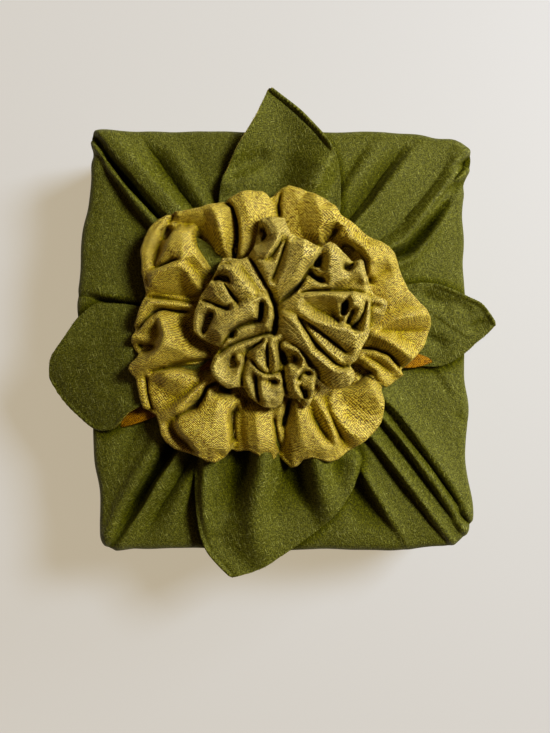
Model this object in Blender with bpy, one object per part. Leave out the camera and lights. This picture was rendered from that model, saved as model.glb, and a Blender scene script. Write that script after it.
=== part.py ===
"""A furoshiki wrap: one square cloth drawn up round a box, tied, and dressed as a rosette.

The cloth is one sheet. It is laid out in half-planes round the knot: each column of
points starts under the box, goes up the wall and over the top to the knot, out and
back as the lower ruffle, then out and back again as the upper ruffle, down to the eye.
The four corners of the cloth come out from the knot as leaves.

Lengths are in millimetres until POINT_SCALE turns them into metres. Angles are in
degrees about the knot, from +X towards +Y.
"""

from collections import namedtuple
from math import cos, exp, radians, sin

import bpy
import numpy as np
from mathutils import Vector

POINT_SCALE = 0.001
THICK = 2.0

# The wrapped shape, measured from the knot's axis to each side.
KNOT = (0.3, 11.0)
EAST, WEST, NORTH, SOUTH = 104.5, 97.5, 99.0, 128.0
TOP_Z = 75.0
CORNER_POWER = 30
NECK_RADIUS = 5.8
NECK_Z = 89.0

# The lower ruffle's rim lies on the leaves, the upper one above it.
LOWER_Z, LOWER_FOLD = 90.0, 10.0
UPPER_Z, UPPER_FOLD = 106.5, 9.5
THROAT_RADIUS = 11.0
EYE_Z = 103.0

Swell = namedtuple("Swell", "angle width out")
Fold = namedtuple("Fold", "turn rise")
Lobe = namedtuple("Lobe", "end radius lift lines")
Row = namedtuple("Row", "radius low high low_z mid_z high_z")

# Where the side of the wrap stands out of the plain box, or is drawn in.
SWELLS = (
    Swell(176, 15, 8.0),
    Swell(135, 5, 3.0),
    Swell(43, 9, -4.0),
    Swell(16, 14, -1.0),
    Swell(-31, 10, -1.5),
    Swell(-48, 5, 3.5),
    Swell(233, 5, -2.5),
)

# Each corner's folds, as lines that fan from the corner of the box to the ruffle:
# how far each has turned from the corner's direction there, and how high it stands.
CORNER_FOLDS = {
    -49.7: (
        Fold(-20.0, 0.0),
        Fold(-15.5, 0.5),
        Fold(-11.2, 4.0),
        Fold(-7.0, -3.0),
        Fold(-2.8, 4.5),
        Fold(1.0, -2.5),
        Fold(4.0, -3.5),
        Fold(7.4, 4.5),
        Fold(11.0, -4.0),
        Fold(14.2, 4.5),
        Fold(20.0, 0.0),
    ),
    40.2: (
        Fold(-25.0, 0.0),
        Fold(-21.6, 3.5),
        Fold(-18.4, -4.5),
        Fold(-15.0, -3.5),
        Fold(-11.8, 5.0),
        Fold(-8.0, 2.0),
        Fold(-4.0, -1.5),
        Fold(1.0, 2.5),
        Fold(6.0, 2.0),
        Fold(10.0, -2.5),
        Fold(15.0, 1.5),
        Fold(20.0, 0.0),
    ),
    134.9: (
        Fold(-19.0, 0.0),
        Fold(-14.0, 2.0),
        Fold(-9.8, -2.5),
        Fold(-5.8, 4.5),
        Fold(-1.6, 4.0),
        Fold(1.4, -4.5),
        Fold(4.4, -4.5),
        Fold(7.0, 4.5),
        Fold(10.5, -2.0),
        Fold(15.0, 0.0),
    ),
    233.1: (
        Fold(-17.0, 0.0),
        Fold(-13.0, -1.0),
        Fold(-9.0, 4.0),
        Fold(-5.2, 2.5),
        Fold(-2.2, -4.5),
        Fold(1.4, -3.0),
        Fold(4.8, 4.0),
        Fold(9.0, -2.0),
        Fold(13.0, 2.0),
        Fold(18.0, 0.0),
    ),
}
SIDE_LINES = (5, 6, 7, 8)
CORNER_GATHER = 0.25
SOFT_CREASE = Swell(176.5, 2.6, -3.0)

# The ruffles, lobe by lobe: the angle each starts at is the one before's end.
LOWER_START = -36.0
LOWER_LOBES = (
    Lobe(-24.5, 74, 1.0, 3),
    Lobe(19.0, 81, 0.0, 8),
    Lobe(56.0, 68, 1.5, 6),
    Lobe(88.5, 66, -2.5, 5),
    Lobe(114.5, 64, 1.5, 5),
    Lobe(138.0, 69, 2.0, 4),
    Lobe(160.0, 76, 0.0, 4),
    Lobe(176.0, 66, 1.5, 3),
    Lobe(204.0, 77, 1.5, 6),
    Lobe(239.0, 84, -2.0, 7),
    Lobe(254.5, 84, 3.0, 4),
    Lobe(272.0, 76, 0.0, 4),
    Lobe(286.0, 80, 1.5, 4),
    Lobe(324.0, 84, 0.0, 6),
)
UPPER_START = -44.0
UPPER_LOBES = (
    Lobe(-32.0, 52, 0.0, 3),
    Lobe(8.0, 48, 2.5, 7),
    Lobe(50.0, 49, -1.0, 7),
    Lobe(82.0, 44, 0.0, 5),
    Lobe(113.0, 46, 1.0, 6),
    Lobe(141.0, 35, -1.0, 5),
    Lobe(177.0, 37, 2.0, 7),
    Lobe(212.0, 39, 1.0, 7),
    Lobe(250.0, 42, 0.0, 8),
    Lobe(274.0, 47, 1.0, 6),
    Lobe(316.0, 46, 1.0, 8),
)

# Each leaf, row by row from the knot to its tip: the angles of its two edges, and
# its height at the one, in the middle and at the other.
LEAVES = {
    "leaf_right": (
        Row(5.6, -35, 35, 90.0, 90.0, 90.0),
        Row(18, -25, 24, 86.5, 88.5, 86.5),
        Row(38, -16, 14, 83.5, 85.5, 83.5),
        Row(60, -17, 12, 81.5, 83.0, 81.5),
        Row(80, -20, 11, 81.5, 81.5, 80.5),
        Row(92, -19.5, 10, 81.0, 81.0, 80.5),
        Row(102, -13, 6, 81.0, 82.0, 81.0),
        Row(112, -6.5, 1.5, 82.0, 82.5, 82.0),
        Row(119, -3.2, -2.4, 82.5, 82.5, 82.5),
    ),
    "leaf_back": (
        Row(5.6, 55, 125, 90.0, 90.0, 90.0),
        Row(18, 62, 118, 85.0, 88.5, 86.5),
        Row(38, 58, 113, 83.0, 85.0, 83.5),
        Row(60, 56, 114, 80.5, 84.0, 82.0),
        Row(78, 61, 108, 80.0, 84.0, 82.0),
        Row(92, 69, 101, 81.0, 84.5, 83.5),
        Row(103, 79, 96, 83.0, 86.0, 85.0),
        Row(112, 86, 93.5, 84.5, 86.5, 86.0),
        Row(119, 90.2, 91.0, 86.0, 86.0, 86.0),
    ),
    "leaf_left": (
        Row(5.6, 155, 225, 90.0, 90.0, 90.0),
        Row(18, 168, 222, 86.5, 88.5, 86.5),
        Row(38, 178, 217, 83.5, 85.0, 84.0),
        Row(62, 177, 217, 81.0, 83.0, 84.0),
        Row(84, 176, 219, 80.0, 82.5, 85.0),
        Row(98, 178, 218, 80.0, 82.0, 85.5),
        Row(109, 184, 214, 79.5, 81.0, 82.5),
        Row(117, 190, 204, 79.0, 79.5, 79.5),
        Row(123, 194.6, 195.8, 78.5, 78.5, 78.5),
    ),
    "leaf_front": (
        Row(5.6, 235, 305, 90.0, 90.0, 90.0),
        Row(18, 240, 300, 86.0, 88.5, 86.0),
        Row(40, 244, 300, 83.5, 83.5, 83.5),
        Row(66, 243, 304, 83.5, 80.5, 82.0),
        Row(90, 243, 302, 83.0, 80.5, 81.0),
        Row(107, 247, 289, 82.0, 81.0, 81.0),
        Row(121, 250.5, 281, 81.5, 81.5, 81.5),
        Row(133, 256, 271, 81.0, 81.5, 81.0),
        Row(142, 261.5, 263.5, 80.5, 80.5, 80.5),
    ),
}
LEAF_ACROSS = 7


def clear_scene():
    for item in list(bpy.data.objects):
        bpy.data.objects.remove(item, do_unlink=True)


def ease(x):
    x = min(max(x, 0.0), 1.0)
    return x * x * (3 - 2 * x)


def turned(angle, centre):
    """The angle from centre to angle, between -180 and 180."""
    return (angle - centre + 180) % 360 - 180


def bump(angle, swell):
    return swell.out * exp(-((turned(angle, swell.angle) / swell.width) ** 2))


def wall_radius(angle, slack):
    """The plain box's side with rounded corners, then what the cloth does to it, which
    is least at the foot, where slack is near 0."""
    x, y = cos(radians(angle)), sin(radians(angle))
    reach_x = x / EAST if x > 0 else -x / WEST
    reach_y = y / NORTH if y > 0 else -y / SOUTH
    plain = (reach_x**CORNER_POWER + reach_y**CORNER_POWER) ** (-1 / CORNER_POWER)
    return plain + slack * sum(bump(angle, swell) for swell in SWELLS)


def body_lines(gather):
    """(angle, rise) of every line of the wrap, with the corner folds gathered to this
    share of their spread and the plain sides filled in between."""
    corners = sorted(CORNER_FOLDS)
    fans = [
        [(at + fold.turn * gather, fold.rise) for fold in CORNER_FOLDS[at]]
        for at in corners
    ]
    lines = []
    for i, fan in enumerate(fans):
        lines += fan
        start, stop = fan[-1][0], fans[(i + 1) % len(fans)][0][0]
        stop += 360 if stop < start else 0
        count = SIDE_LINES[i]
        lines += [
            (start + (stop - start) * k / (count + 1), 0.0) for k in range(1, count + 1)
        ]
    return lines


def lobe_lines(lobes, start):
    """(angle, radius, lift, fullness) of every line of a ruffle. Each lobe starts with
    the crease that parts it from the one before, where its fullness is 0."""
    lines = []
    for i, lobe in enumerate(lobes):
        before = lobes[i - 1]
        for k in range(lobe.lines):
            share = k / lobe.lines
            full = sin(np.pi * share) ** 0.6
            angle = start + (lobe.end - start) * share
            mean = (lobe.radius + before.radius) / 2
            crease = min(0.86 * mean, 0.95 * lobe.radius, 0.95 * before.radius)
            radius = crease + (lobe.radius - crease) * full
            lines.append((angle, radius, lobe.lift * full, full))
        start = lobe.end
    return lines


def lined_up(lines, first):
    """Lines taken round so that the first is the one nearest this angle, all rising."""
    angles = [line[0] for line in lines]
    nearest = min(range(len(lines)), key=lambda i: abs(turned(angles[i], first)))
    around = lines[nearest:] + lines[:nearest]
    result = []
    for line in around:
        angle = first + turned(line[0], first)
        while result and angle <= result[-1][0]:
            angle += 360
        result.append((angle, *line[1:]))
    return result


def cloth_columns():
    """Every column of the cloth, from under the box to the eye, as points (x, y, z)."""
    at_box = body_lines(CORNER_GATHER)
    at_ruffle = body_lines(1.0)
    first = at_ruffle[0][0]
    lower = lined_up(lobe_lines(LOWER_LOBES, LOWER_START), first)
    upper = lined_up(lobe_lines(UPPER_LOBES, UPPER_START), first)
    if not len(at_ruffle) == len(lower) == len(upper):
        raise ValueError(f"lines: {len(at_ruffle)} {len(lower)} {len(upper)}")

    columns = []
    for box, ruffle, low, up in zip(at_box, at_ruffle, lower, upper):
        column = []

        def put(angle, radius, z):
            a = radians(angle)
            column.append((KNOT[0] + radius * cos(a), KNOT[1] + radius * sin(a), z))

        # Under the box and up its wall.
        foot, waist, side = (
            wall_radius(box[0], slack) - THICK / 2 for slack in (0.25, 0.8, 1.0)
        )
        pleat = 0.16 * box[1]
        put(box[0], foot - 6.0, THICK / 2)
        put(box[0], foot - 0.8, 5.5)
        put(box[0], waist + 0.4 * pleat, 40.0)
        put(box[0], side + pleat, 67.0)
        put(box[0], side - 1.5 + 0.6 * pleat, 72.5)
        put(box[0], side - 5.0, TOP_Z - THICK / 2 + 0.35 * box[1])

        # Over the top, where the folds fan out, and up to the knot.
        for share in (0.87, 0.74, 0.6, 0.45, 0.3, 0.17):
            spread = ease((0.95 - share) / 0.45)
            angle = box[0] + (ruffle[0] - box[0]) * spread
            radius = side * share
            rise = ruffle[1] * (0.45 + 0.55 * spread) * ease((radius - 16.0) / 55.0)
            crease = bump(angle, SOFT_CREASE) * ease((radius - 16.0) / 55.0)
            climb = 12.0 * exp(-(radius - NECK_RADIUS) / 13.0)
            put(angle, radius, TOP_Z - THICK / 2 + rise + crease + climb)
        put(low[0], NECK_RADIUS + 1.0, NECK_Z)

        # The lower ruffle, out along its underside and back over its top. Its creases
        # fade where the cloth is gathered in to the knot.
        _, rim, lift, full = low

        def over_lower(radius, share):
            fade = ease((radius - 14.0) / 34.0)
            fold = LOWER_FOLD * (1 - 0.42 * (1 - full) * fade)
            return LOWER_Z + lift * fade + fold * share

        put(low[0], NECK_RADIUS, 93.5)
        put(low[0], 20.0, 94.5)
        put(low[0], rim * 0.62, over_lower(rim * 0.62, 0.0) + 2.0)
        put(low[0], rim - 4.5, over_lower(rim, 0.0))
        put(low[0], rim - 0.9, over_lower(rim, 0.22))
        put(low[0], rim, over_lower(rim, 0.55))
        put(low[0], rim - 2.6, over_lower(rim, 0.92))
        put(low[0], rim * 0.83, over_lower(rim * 0.83, 1.08))
        put(low[0], rim * 0.6, over_lower(rim * 0.6, 1.15))
        put(low[0], 25.0, over_lower(25.0, 1.08))
        between = (low[0] + up[0]) / 2
        put(between, THROAT_RADIUS + 2.0, 100.4)
        put(between, THROAT_RADIUS, 103.0)
        put(between, THROAT_RADIUS + 2.0, 105.6)

        # The upper ruffle, then down into the eye.
        _, rim, lift, full = up

        def over_upper(radius, share):
            fade = ease((radius - 9.0) / 24.0)
            fold = UPPER_FOLD * (1 - 0.45 * (1 - full) * fade)
            return UPPER_Z + lift * fade + fold * share

        put(up[0], 0.55 * rim, over_upper(0.55 * rim, 0.0))
        put(up[0], rim - 4.0, over_upper(rim, 0.0))
        put(up[0], rim - 0.7, over_upper(rim, 0.25))
        put(up[0], rim - 0.4, over_upper(rim, 0.65))
        put(up[0], rim - 3.6, over_upper(rim, 1.0))
        put(up[0], rim * 0.68, over_upper(rim * 0.68, 1.05))
        put(up[0], 17.0, over_upper(17.0, 0.9))
        put(up[0], 9.0, UPPER_Z + 5.5)
        put(up[0], NECK_RADIUS, EYE_Z)
        columns.append(column)
    return np.array(columns)


def sheet_faces(columns, rows, closed):
    """The quads of a grid of points, columns by rows, as index arrays."""
    last = columns if closed else columns - 1
    i, j = np.meshgrid(np.arange(last), np.arange(rows - 1), indexing="ij")
    i, j, after = i.ravel(), j.ravel(), (i.ravel() + 1) % columns
    return np.stack(
        [i * rows + j, after * rows + j, after * rows + j + 1, i * rows + j + 1], axis=1
    )


def grid_normals(points, closed):
    """The unit normal at each point of a grid of points, columns by rows."""
    if closed:
        around = np.roll(points, -1, axis=0) - np.roll(points, 1, axis=0)
    else:
        around = np.gradient(points, axis=0)
    along = np.gradient(points, axis=1)
    normal = np.cross(around, along)
    return normal / np.linalg.norm(normal, axis=2, keepdims=True)


def add_mesh(name, points, faces, material):
    mesh = bpy.data.meshes.new(name)
    mesh.from_pydata([Vector(p) * POINT_SCALE for p in points], [], faces)
    mesh.materials.append(material)
    item = bpy.data.objects.new(name, mesh)
    bpy.context.scene.collection.objects.link(item)
    return item


def wrapped_cloth(material):
    """The cloth's two faces, half a thickness either side of its columns, closed at
    the rim of the eye and by a fan of faces under the box."""
    middle = cloth_columns()
    count, rows, _ = middle.shape
    normal = grid_normals(middle, closed=True)
    # Under the box the sheet is flat, so that both faces stay level there.
    normal[:, :1] = (0.0, 0.0, -1.0)
    outer = middle + normal * THICK / 2
    inner = middle - normal * THICK / 2
    outer[:, 0, 2], inner[:, 0, 2] = 0.0, THICK

    grid = sheet_faces(count, rows, closed=True)
    total = count * rows
    faces = [tuple(f) for f in grid]
    faces += [tuple(f[::-1] + total) for f in grid]
    under, over = 2 * total, 2 * total + 1
    for i in range(count):
        after = (i + 1) % count
        faces.append((after * rows, i * rows, under))
        faces.append((i * rows + total, after * rows + total, over))
        end, next_end = i * rows + rows - 1, after * rows + rows - 1
        faces.append((end, next_end, next_end + total, end + total))
    centre = np.array([[*KNOT, 0.0], [*KNOT, THICK]])
    points = np.vstack([outer.reshape(-1, 3), inner.reshape(-1, 3), centre])
    return add_mesh("furoshiki_cloth", points, faces, material)


def leaf(name, rows, material):
    """One corner of the cloth, as a sheet from the knot to its tip."""
    middle = np.zeros((LEAF_ACROSS, len(rows), 3))
    for j, row in enumerate(rows):
        for i in range(LEAF_ACROSS):
            share = i / (LEAF_ACROSS - 1)
            angle = radians(row.low + (row.high - row.low) * share)
            straight = row.low_z + (row.high_z - row.low_z) * share
            bow = row.mid_z - (row.low_z + row.high_z) / 2
            middle[i, j] = (
                KNOT[0] + row.radius * cos(angle),
                KNOT[1] + row.radius * sin(angle),
                straight + bow * 4 * share * (1 - share),
            )
    normal = grid_normals(middle, closed=False)
    points = np.vstack(
        [(middle + normal * THICK / 2).reshape(-1, 3), (middle - normal * THICK / 2).reshape(-1, 3)]
    )
    count = len(rows)
    total = LEAF_ACROSS * count
    grid = sheet_faces(LEAF_ACROSS, count, closed=False)
    faces = [tuple(f) for f in grid] + [tuple(f[::-1] + total) for f in grid]
    edge = [j for j in range(count)]
    edge += [i * count + count - 1 for i in range(1, LEAF_ACROSS)]
    edge += [(LEAF_ACROSS - 1) * count + j for j in range(count - 2, -1, -1)]
    edge += [i * count for i in range(LEAF_ACROSS - 2, 0, -1)]
    for a, b in zip(edge, edge[1:] + edge[:1]):
        faces.append((a, b, b + total, a + total))
    item = add_mesh(name, points, faces, material)
    item.hide_render = True
    item.hide_viewport = True
    return item


def cloth_material():
    """Green slubbed cotton with a dull gold back, matt on both sides."""
    material = bpy.data.materials.new("green_gold_cloth")
    material.use_nodes = True
    shader = material.node_tree.nodes["Principled BSDF"]
    shader.inputs["Base Color"].default_value = (0.105, 0.125, 0.018, 1.0)
    shader.inputs["Roughness"].default_value = 0.8
    shader.inputs["Metallic"].default_value = 0.0
    return material


def main():
    clear_scene()
    material = cloth_material()
    cloth = wrapped_cloth(material)
    for name, rows in LEAVES.items():
        joined = cloth.modifiers.new(name, "BOOLEAN")
        joined.operation = "UNION"
        joined.object = leaf(name, rows, material)


main()
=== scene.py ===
import math

import bpy
import bmesh
import numpy as np
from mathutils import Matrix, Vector, noise
from mathutils.geometry import delaunay_2d_cdt


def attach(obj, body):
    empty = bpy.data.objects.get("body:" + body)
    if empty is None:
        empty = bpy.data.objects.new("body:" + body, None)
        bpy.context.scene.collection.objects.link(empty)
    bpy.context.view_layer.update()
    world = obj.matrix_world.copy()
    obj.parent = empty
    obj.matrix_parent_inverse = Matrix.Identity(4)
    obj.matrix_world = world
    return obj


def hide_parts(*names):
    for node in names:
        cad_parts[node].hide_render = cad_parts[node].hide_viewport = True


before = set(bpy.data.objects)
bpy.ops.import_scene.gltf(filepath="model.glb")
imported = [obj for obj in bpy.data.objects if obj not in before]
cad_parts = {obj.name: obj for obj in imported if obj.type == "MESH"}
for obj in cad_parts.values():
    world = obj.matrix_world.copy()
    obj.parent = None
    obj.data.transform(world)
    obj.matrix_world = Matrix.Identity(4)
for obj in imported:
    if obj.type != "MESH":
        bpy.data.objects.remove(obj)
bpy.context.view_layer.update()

mm = 0.001
knot = Vector((0.0003, 0.0108, 0.0))  # the axis that every fold runs to
knotAt = np.array(knot)


def toLinear(channel):
    return channel / 12.92 if channel <= 0.04045 else ((channel + 0.055) / 1.055) ** 2.4


def hexColour(text):
    parts = [int(text[i : i + 2], 16) / 255 for i in (1, 3, 5)]
    return (*[toLinear(part) for part in parts], 1.0)


def ease(x):
    x = np.clip(x, 0.0, 1.0)
    return x * x * (3 - 2 * x)


def turned(angle, centre):
    return (angle - centre + 180) % 360 - 180


def meanSlope(before, after):
    # level where the curve turns back, so that it never overshoots
    same = before * after > 0
    return np.where(same, 2 * before * after / np.where(same, before + after, 1), 0)


def cubic(t, start, leaving, end, arriving):
    return (
        start * (2 * t**3 - 3 * t**2 + 1)
        + leaving * (t**3 - 2 * t**2 + t)
        + end * (3 * t**2 - 2 * t**3)
        + arriving * (t**3 - t**2)
    )


def smoothCurve(xs, ys, x):
    xs, ys = np.asarray(xs, float), np.asarray(ys, float)
    step = np.diff(xs)
    slope = np.diff(ys) / step
    tangent = np.concatenate([slope[:1], meanSlope(slope[:-1], slope[1:]), slope[-1:]])
    x = np.clip(x, xs[0], xs[-1])
    i = np.clip(np.searchsorted(xs, x, side="right") - 1, 0, len(step) - 1)
    t = (x - xs[i]) / step[i]
    return cubic(t, ys[i], tangent[i] * step[i], ys[i + 1], tangent[i + 1] * step[i])


def softNoise(points, size, seed):
    # smooth noise from -1 to 1 at each point, in metres, with features of this size
    offset = Vector((seed * 3.7, seed * 1.3, seed * 2.9))
    return np.array([noise.noise(Vector(p) / size + offset) for p in points])


def addNode(tree, kind, links=None, **settings):
    # a node given in place of a socket stands for its first output
    node = tree.nodes.new(kind)
    for name, value in settings.items():
        setattr(node, name, value)
    for socket, value in (links or {}).items():
        if isinstance(value, bpy.types.Node):
            value = next(output for output in value.outputs if output.enabled)
        if isinstance(value, bpy.types.NodeSocket):
            tree.links.new(value, node.inputs[socket])
        else:
            node.inputs[socket].default_value = value
    return node


def newMaterial(name, sockets=None):
    material = bpy.data.materials.new(name)
    material.use_nodes = True
    tree = material.node_tree
    tree.nodes.clear()
    shader = addNode(tree, "ShaderNodeBsdfPrincipled", sockets)
    addNode(tree, "ShaderNodeOutputMaterial", {"Surface": shader})
    return material, tree, shader


# painted shade in the folds: how much darker and richer the cloth is painted where it lies deep
paintedFoldShade = {"attribute": "shade", "darker": 0.72, "richer": 0.4}


def darkenedByPaintedShade(tree, shader, colour, value, look):
    # painted shade: darker, a little richer and without its gloss, the deeper in a fold
    shade = addNode(tree, "ShaderNodeAttribute", attribute_name=paintedFoldShade["attribute"])
    specular, roughness = look["specular"], look["roughness"]
    graded = {
        "tone": (-paintedFoldShade["darker"], 1.0),
        "richness": (paintedFoldShade["richer"], 1.0),
        "gloss": (-specular, specular),
        "roughness": (1 - roughness, roughness),
    }
    for part, (slope, start) in graded.items():
        sockets = {0: shade.outputs["Fac"], 1: slope, 2: start}
        graded[part] = addNode(tree, "ShaderNodeMath", sockets, operation="MULTIPLY_ADD")
    both = addNode(tree, "ShaderNodeMath", {0: graded["tone"], 1: value}, operation="MULTIPLY")
    sockets = {"Saturation": graded["richness"], "Value": both, "Color": colour}
    toned = addNode(tree, "ShaderNodeHueSaturation", sockets)
    shader.inputs["Specular IOR Level"].default_value = specular
    tree.links.new(toned.outputs[0], shader.inputs["Base Color"])
    tree.links.new(graded["gloss"].outputs[0], shader.inputs["Specular IOR Level"])
    tree.links.new(graded["roughness"].outputs[0], shader.inputs["Roughness"])


def addYarn(tree, uv, length, width, detail):
    # uneven threads, this long and this thick in millimetres
    sockets = {"Vector": uv, "Scale": (1 / length, 1 / width, 1)}
    mapping = addNode(tree, "ShaderNodeMapping", sockets)
    sockets = {"Vector": mapping, "Scale": 1.0, "Detail": detail, "Roughness": 0.6}
    return addNode(tree, "ShaderNodeTexNoise", sockets)


def dyed(tree, look, ground, layers):
    # each tone covers the one before where its pattern stands high. A layer is (tone,
    # pattern, where the tone starts, where it is full, the most that it covers)
    colour = hexColour(look[ground])
    for tone, pattern, low, high, most in layers:
        sockets = {"Value": pattern, "From Min": low, "From Max": high, "To Max": most}
        share = addNode(tree, "ShaderNodeMapRange", sockets)
        sockets = {"Factor": share, 6: colour, 7: hexColour(look[tone])}
        colour = addNode(tree, "ShaderNodeMix", sockets, data_type="RGBA")
    return colour, share


def finishCloth(tree, shader, height, look):
    # threads stand up from the cloth, and a little fuzz catches the light
    sockets = {"Height": height, "Strength": look["bump"], "Distance": look["relief"] * mm}
    bump = addNode(tree, "ShaderNodeBump", sockets)
    tree.links.new(bump.outputs[0], shader.inputs["Normal"])
    shader.inputs["Sheen Weight"].default_value = look["sheen"]
    shader.inputs["Sheen Roughness"].default_value = look["sheenRoughness"]
    shader.inputs["Sheen Tint"].default_value = hexColour(look["sheenTint"])


# lengths and widths are in millimetres
greenCloth = {
    "dark": "#424300",
    "middle": "#5e5f06",
    "light": "#80802a",
    "slub": "#b8b964",
    "threadWidth": 0.5,  # one and a half real threads drawn as one, so that they show
    "threadLength": 1.9,
    "slubLength": 5.5,
    "slubWidth": 0.5,
    "slubRise": 0.8,
    "roughness": 0.55,
    "specular": 0.32,
    "sheen": 0.04,
    "sheenRoughness": 0.45,
    "sheenTint": "#c8cf7a",
    "bump": 1.0,
    "relief": 0.4,
}


def slubbedCotton(name, look):
    # plain weave from uneven yarn: a matt surface crossed by short thick pale threads
    material, tree, shader = newMaterial(name)
    uv = addNode(tree, "ShaderNodeUVMap", uv_map="cloth")
    width, length = look["threadWidth"], look["threadLength"]
    slubWidth, slubLength = look["slubWidth"], look["slubLength"]
    weft = addYarn(tree, uv, length, width, 1.0)
    warp = addYarn(tree, uv, width, length, 1.0)
    grain = addYarn(tree, uv, width * 1.1, width * 1.1, 2.0)
    crossed = addNode(tree, "ShaderNodeMath", {0: weft, 1: warp}, operation="ADD")
    weave = addNode(tree, "ShaderNodeMath", {0: crossed, 1: grain}, operation="ADD")
    weftSlubs = addYarn(tree, uv, slubLength, slubWidth, 2.0)
    warpSlubs = addYarn(tree, uv, slubWidth, slubLength * 0.6, 2.0)
    slubs = addNode(tree, "ShaderNodeMath", {0: weftSlubs, 1: warpSlubs}, operation="MAXIMUM")
    layers = (
        ("middle", weave, 1.25, 1.56, 1.0),
        ("light", weave, 1.48, 1.8, 1.0),
        ("slub", slubs, 0.61, 0.7, 0.8),
    )
    colour, slubShare = dyed(tree, look, "dark", layers)
    sockets = {0: slubShare, 1: look["slubRise"], 2: weave}
    height = addNode(tree, "ShaderNodeMath", sockets, operation="MULTIPLY_ADD")
    # painted shade: the weave is darker and loses its gloss deep in the folds
    darkenedByPaintedShade(tree, shader, colour, 1.0, look)
    finishCloth(tree, shader, height, look)
    return material


goldCloth = {
    "shadow": "#614802",
    "gold": "#c2a416",
    "light": "#eedd5c",
    "orange": "#cb9818",
    "grey": "#726c48",
    "threadWidth": 0.56,  # two real threads drawn as one, so that they show
    "threadLength": 2.2,
    "checkSize": 1.3,  # one thread over and one under, drawn three times as large to show
    "checkDepth": 0.26,
    "patchSize": (16.0, 12.0),
    "roughness": 0.46,
    "specular": 0.75,
    "sheen": 0.1,
    "sheenRoughness": 0.4,
    "sheenTint": "#fff0a0",
    "bump": 1.0,
    "relief": 0.4,
}


def shotPlainWeave(name, look):
    # gold weft over a grey-violet warp: a pale lustre where it faces the light, deep amber
    # out of it, broken into small light and dark checks
    material, tree, shader = newMaterial(name)
    uv = addNode(tree, "ShaderNodeUVMap", uv_map="cloth")
    width, length = look["threadWidth"], look["threadLength"]
    weft = addYarn(tree, uv, length, width, 1.0)
    warp = addYarn(tree, uv, width, length / 2, 1.0)
    fleck = addYarn(tree, uv, width * 1.6, width * 1.3, 2.0)
    patch = addYarn(tree, uv, *look["patchSize"], 2.0)
    sides = addNode(tree, "ShaderNodeSeparateXYZ", {0: uv})
    waves = []
    for side in "XY":
        sockets = {0: sides.outputs[side], 1: 2 * math.pi / look["checkSize"]}
        angle = addNode(tree, "ShaderNodeMath", sockets, operation="MULTIPLY")
        waves.append(addNode(tree, "ShaderNodeMath", {0: angle}, operation="SINE"))
    check = addNode(tree, "ShaderNodeMath", dict(enumerate(waves)), operation="MULTIPLY")
    threads = addNode(tree, "ShaderNodeMath", {0: weft, 1: warp}, operation="ADD")
    sockets = {0: check, 1: look["checkDepth"], 2: threads}
    weave = addNode(tree, "ShaderNodeMath", sockets, operation="MULTIPLY_ADD")
    layers = (
        ("gold", weave, 0.84, 1.0, 1.0),
        ("grey", warp, 0.5, 0.66, 0.5),
        ("light", weave, 1.0, 1.16, 1.0),
        ("orange", fleck, 0.58, 0.68, 0.75),
    )
    colour, _ = dyed(tree, look, "shadow", layers)
    sockets = {"Value": patch, "From Min": 0.3, "From Max": 0.7, "To Min": 0.88, "To Max": 1.1}
    patchTone = addNode(tree, "ShaderNodeMapRange", sockets)
    # painted shade: deeper, richer amber and less gloss down in the folds
    darkenedByPaintedShade(tree, shader, colour, patchTone, look)
    finishCloth(tree, shader, weave, look)
    return material


def cottonThread(name):
    # spun cotton, matt and a little paler than the cloth, so that a cut edge shows as fuzz
    sockets = {"Base Color": hexColour("#7d7b26"), "Roughness": 0.8, "Sheen Weight": 0.1}
    return newMaterial(name, sockets)[0]


def floorPaintedGlow(name):
    # a pale board given painted light: it glows faintly, so that shadows on it stay pale and warm
    sockets = {"Base Color": hexColour("#7b879a"), "Roughness": 0.6}
    sockets.update({"Emission Color": hexColour("#fff0d4"), "Emission Strength": 0.42})
    return newMaterial(name, sockets)[0]


greenFace = slubbedCotton("green slubbed cotton", greenCloth)
goldFace = shotPlainWeave("gold shot weave", goldCloth)
# the inner ruffle's gold is a little deeper in tone
innerTones = {"gold": "#bba32c", "shadow": "#4a3b06", "light": "#f0df76", "orange": "#bb901a"}
goldInner = shotPlainWeave("gold shot weave, inner ruffle", {**goldCloth, **innerTones})
# the gold back of the corners: a darker, duller copy of the gold weave, painted shade for the shade of
# the ruffle that it lies in
shadedBackLook = {
    "gold": "#a27204",
    "shadow": "#5c3e02",
    "light": "#b98a0c",
    "orange": "#a86c04",
    "grey": "#7c5404",
    "specular": 0.15,
    "sheen": 0.0,
}
shadedGoldBack = shotPlainWeave("gold shot weave, back of the corners", {**goldCloth, **shadedBackLook})
sewingThread = cottonThread("green cotton thread")
print("materials made")


def inScene(name, data):
    item = bpy.data.objects.new(name, data)
    bpy.context.scene.collection.objects.link(item)
    return item


def readValues(items, key, width=1, kind=np.float32):
    values = np.empty(len(items) * width, kind)
    items.foreach_get(key, values)
    return values.reshape(-1, width) if width > 1 else values


def gridFaces(columns, rows, closed):
    faces = []
    for i in range(columns if closed else columns - 1):
        here, after = i * rows, (i + 1) % columns * rows
        faces += [(here + j, after + j, after + j + 1, here + j + 1) for j in range(rows - 1)]
    return faces


def makeObject(name, points, faces, uvs, materials, faceMaterial=None):
    # uvs are in millimetres, one for each point
    mesh = bpy.data.meshes.new(name)
    mesh.from_pydata([tuple(p) for p in points], [], faces)
    corners = readValues(mesh.loops, "vertex_index", kind=np.int32)
    layer = mesh.uv_layers.new(name="cloth")
    layer.data.foreach_set("uv", np.asarray(uvs, np.float32)[corners].ravel())
    for material in materials:
        mesh.materials.append(material)
    if faceMaterial is not None:
        mesh.polygons.foreach_set("material_index", faceMaterial)
    mesh.polygons.foreach_set("use_smooth", [True] * len(mesh.polygons))
    mesh.update()
    return inScene(name, mesh)


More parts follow.
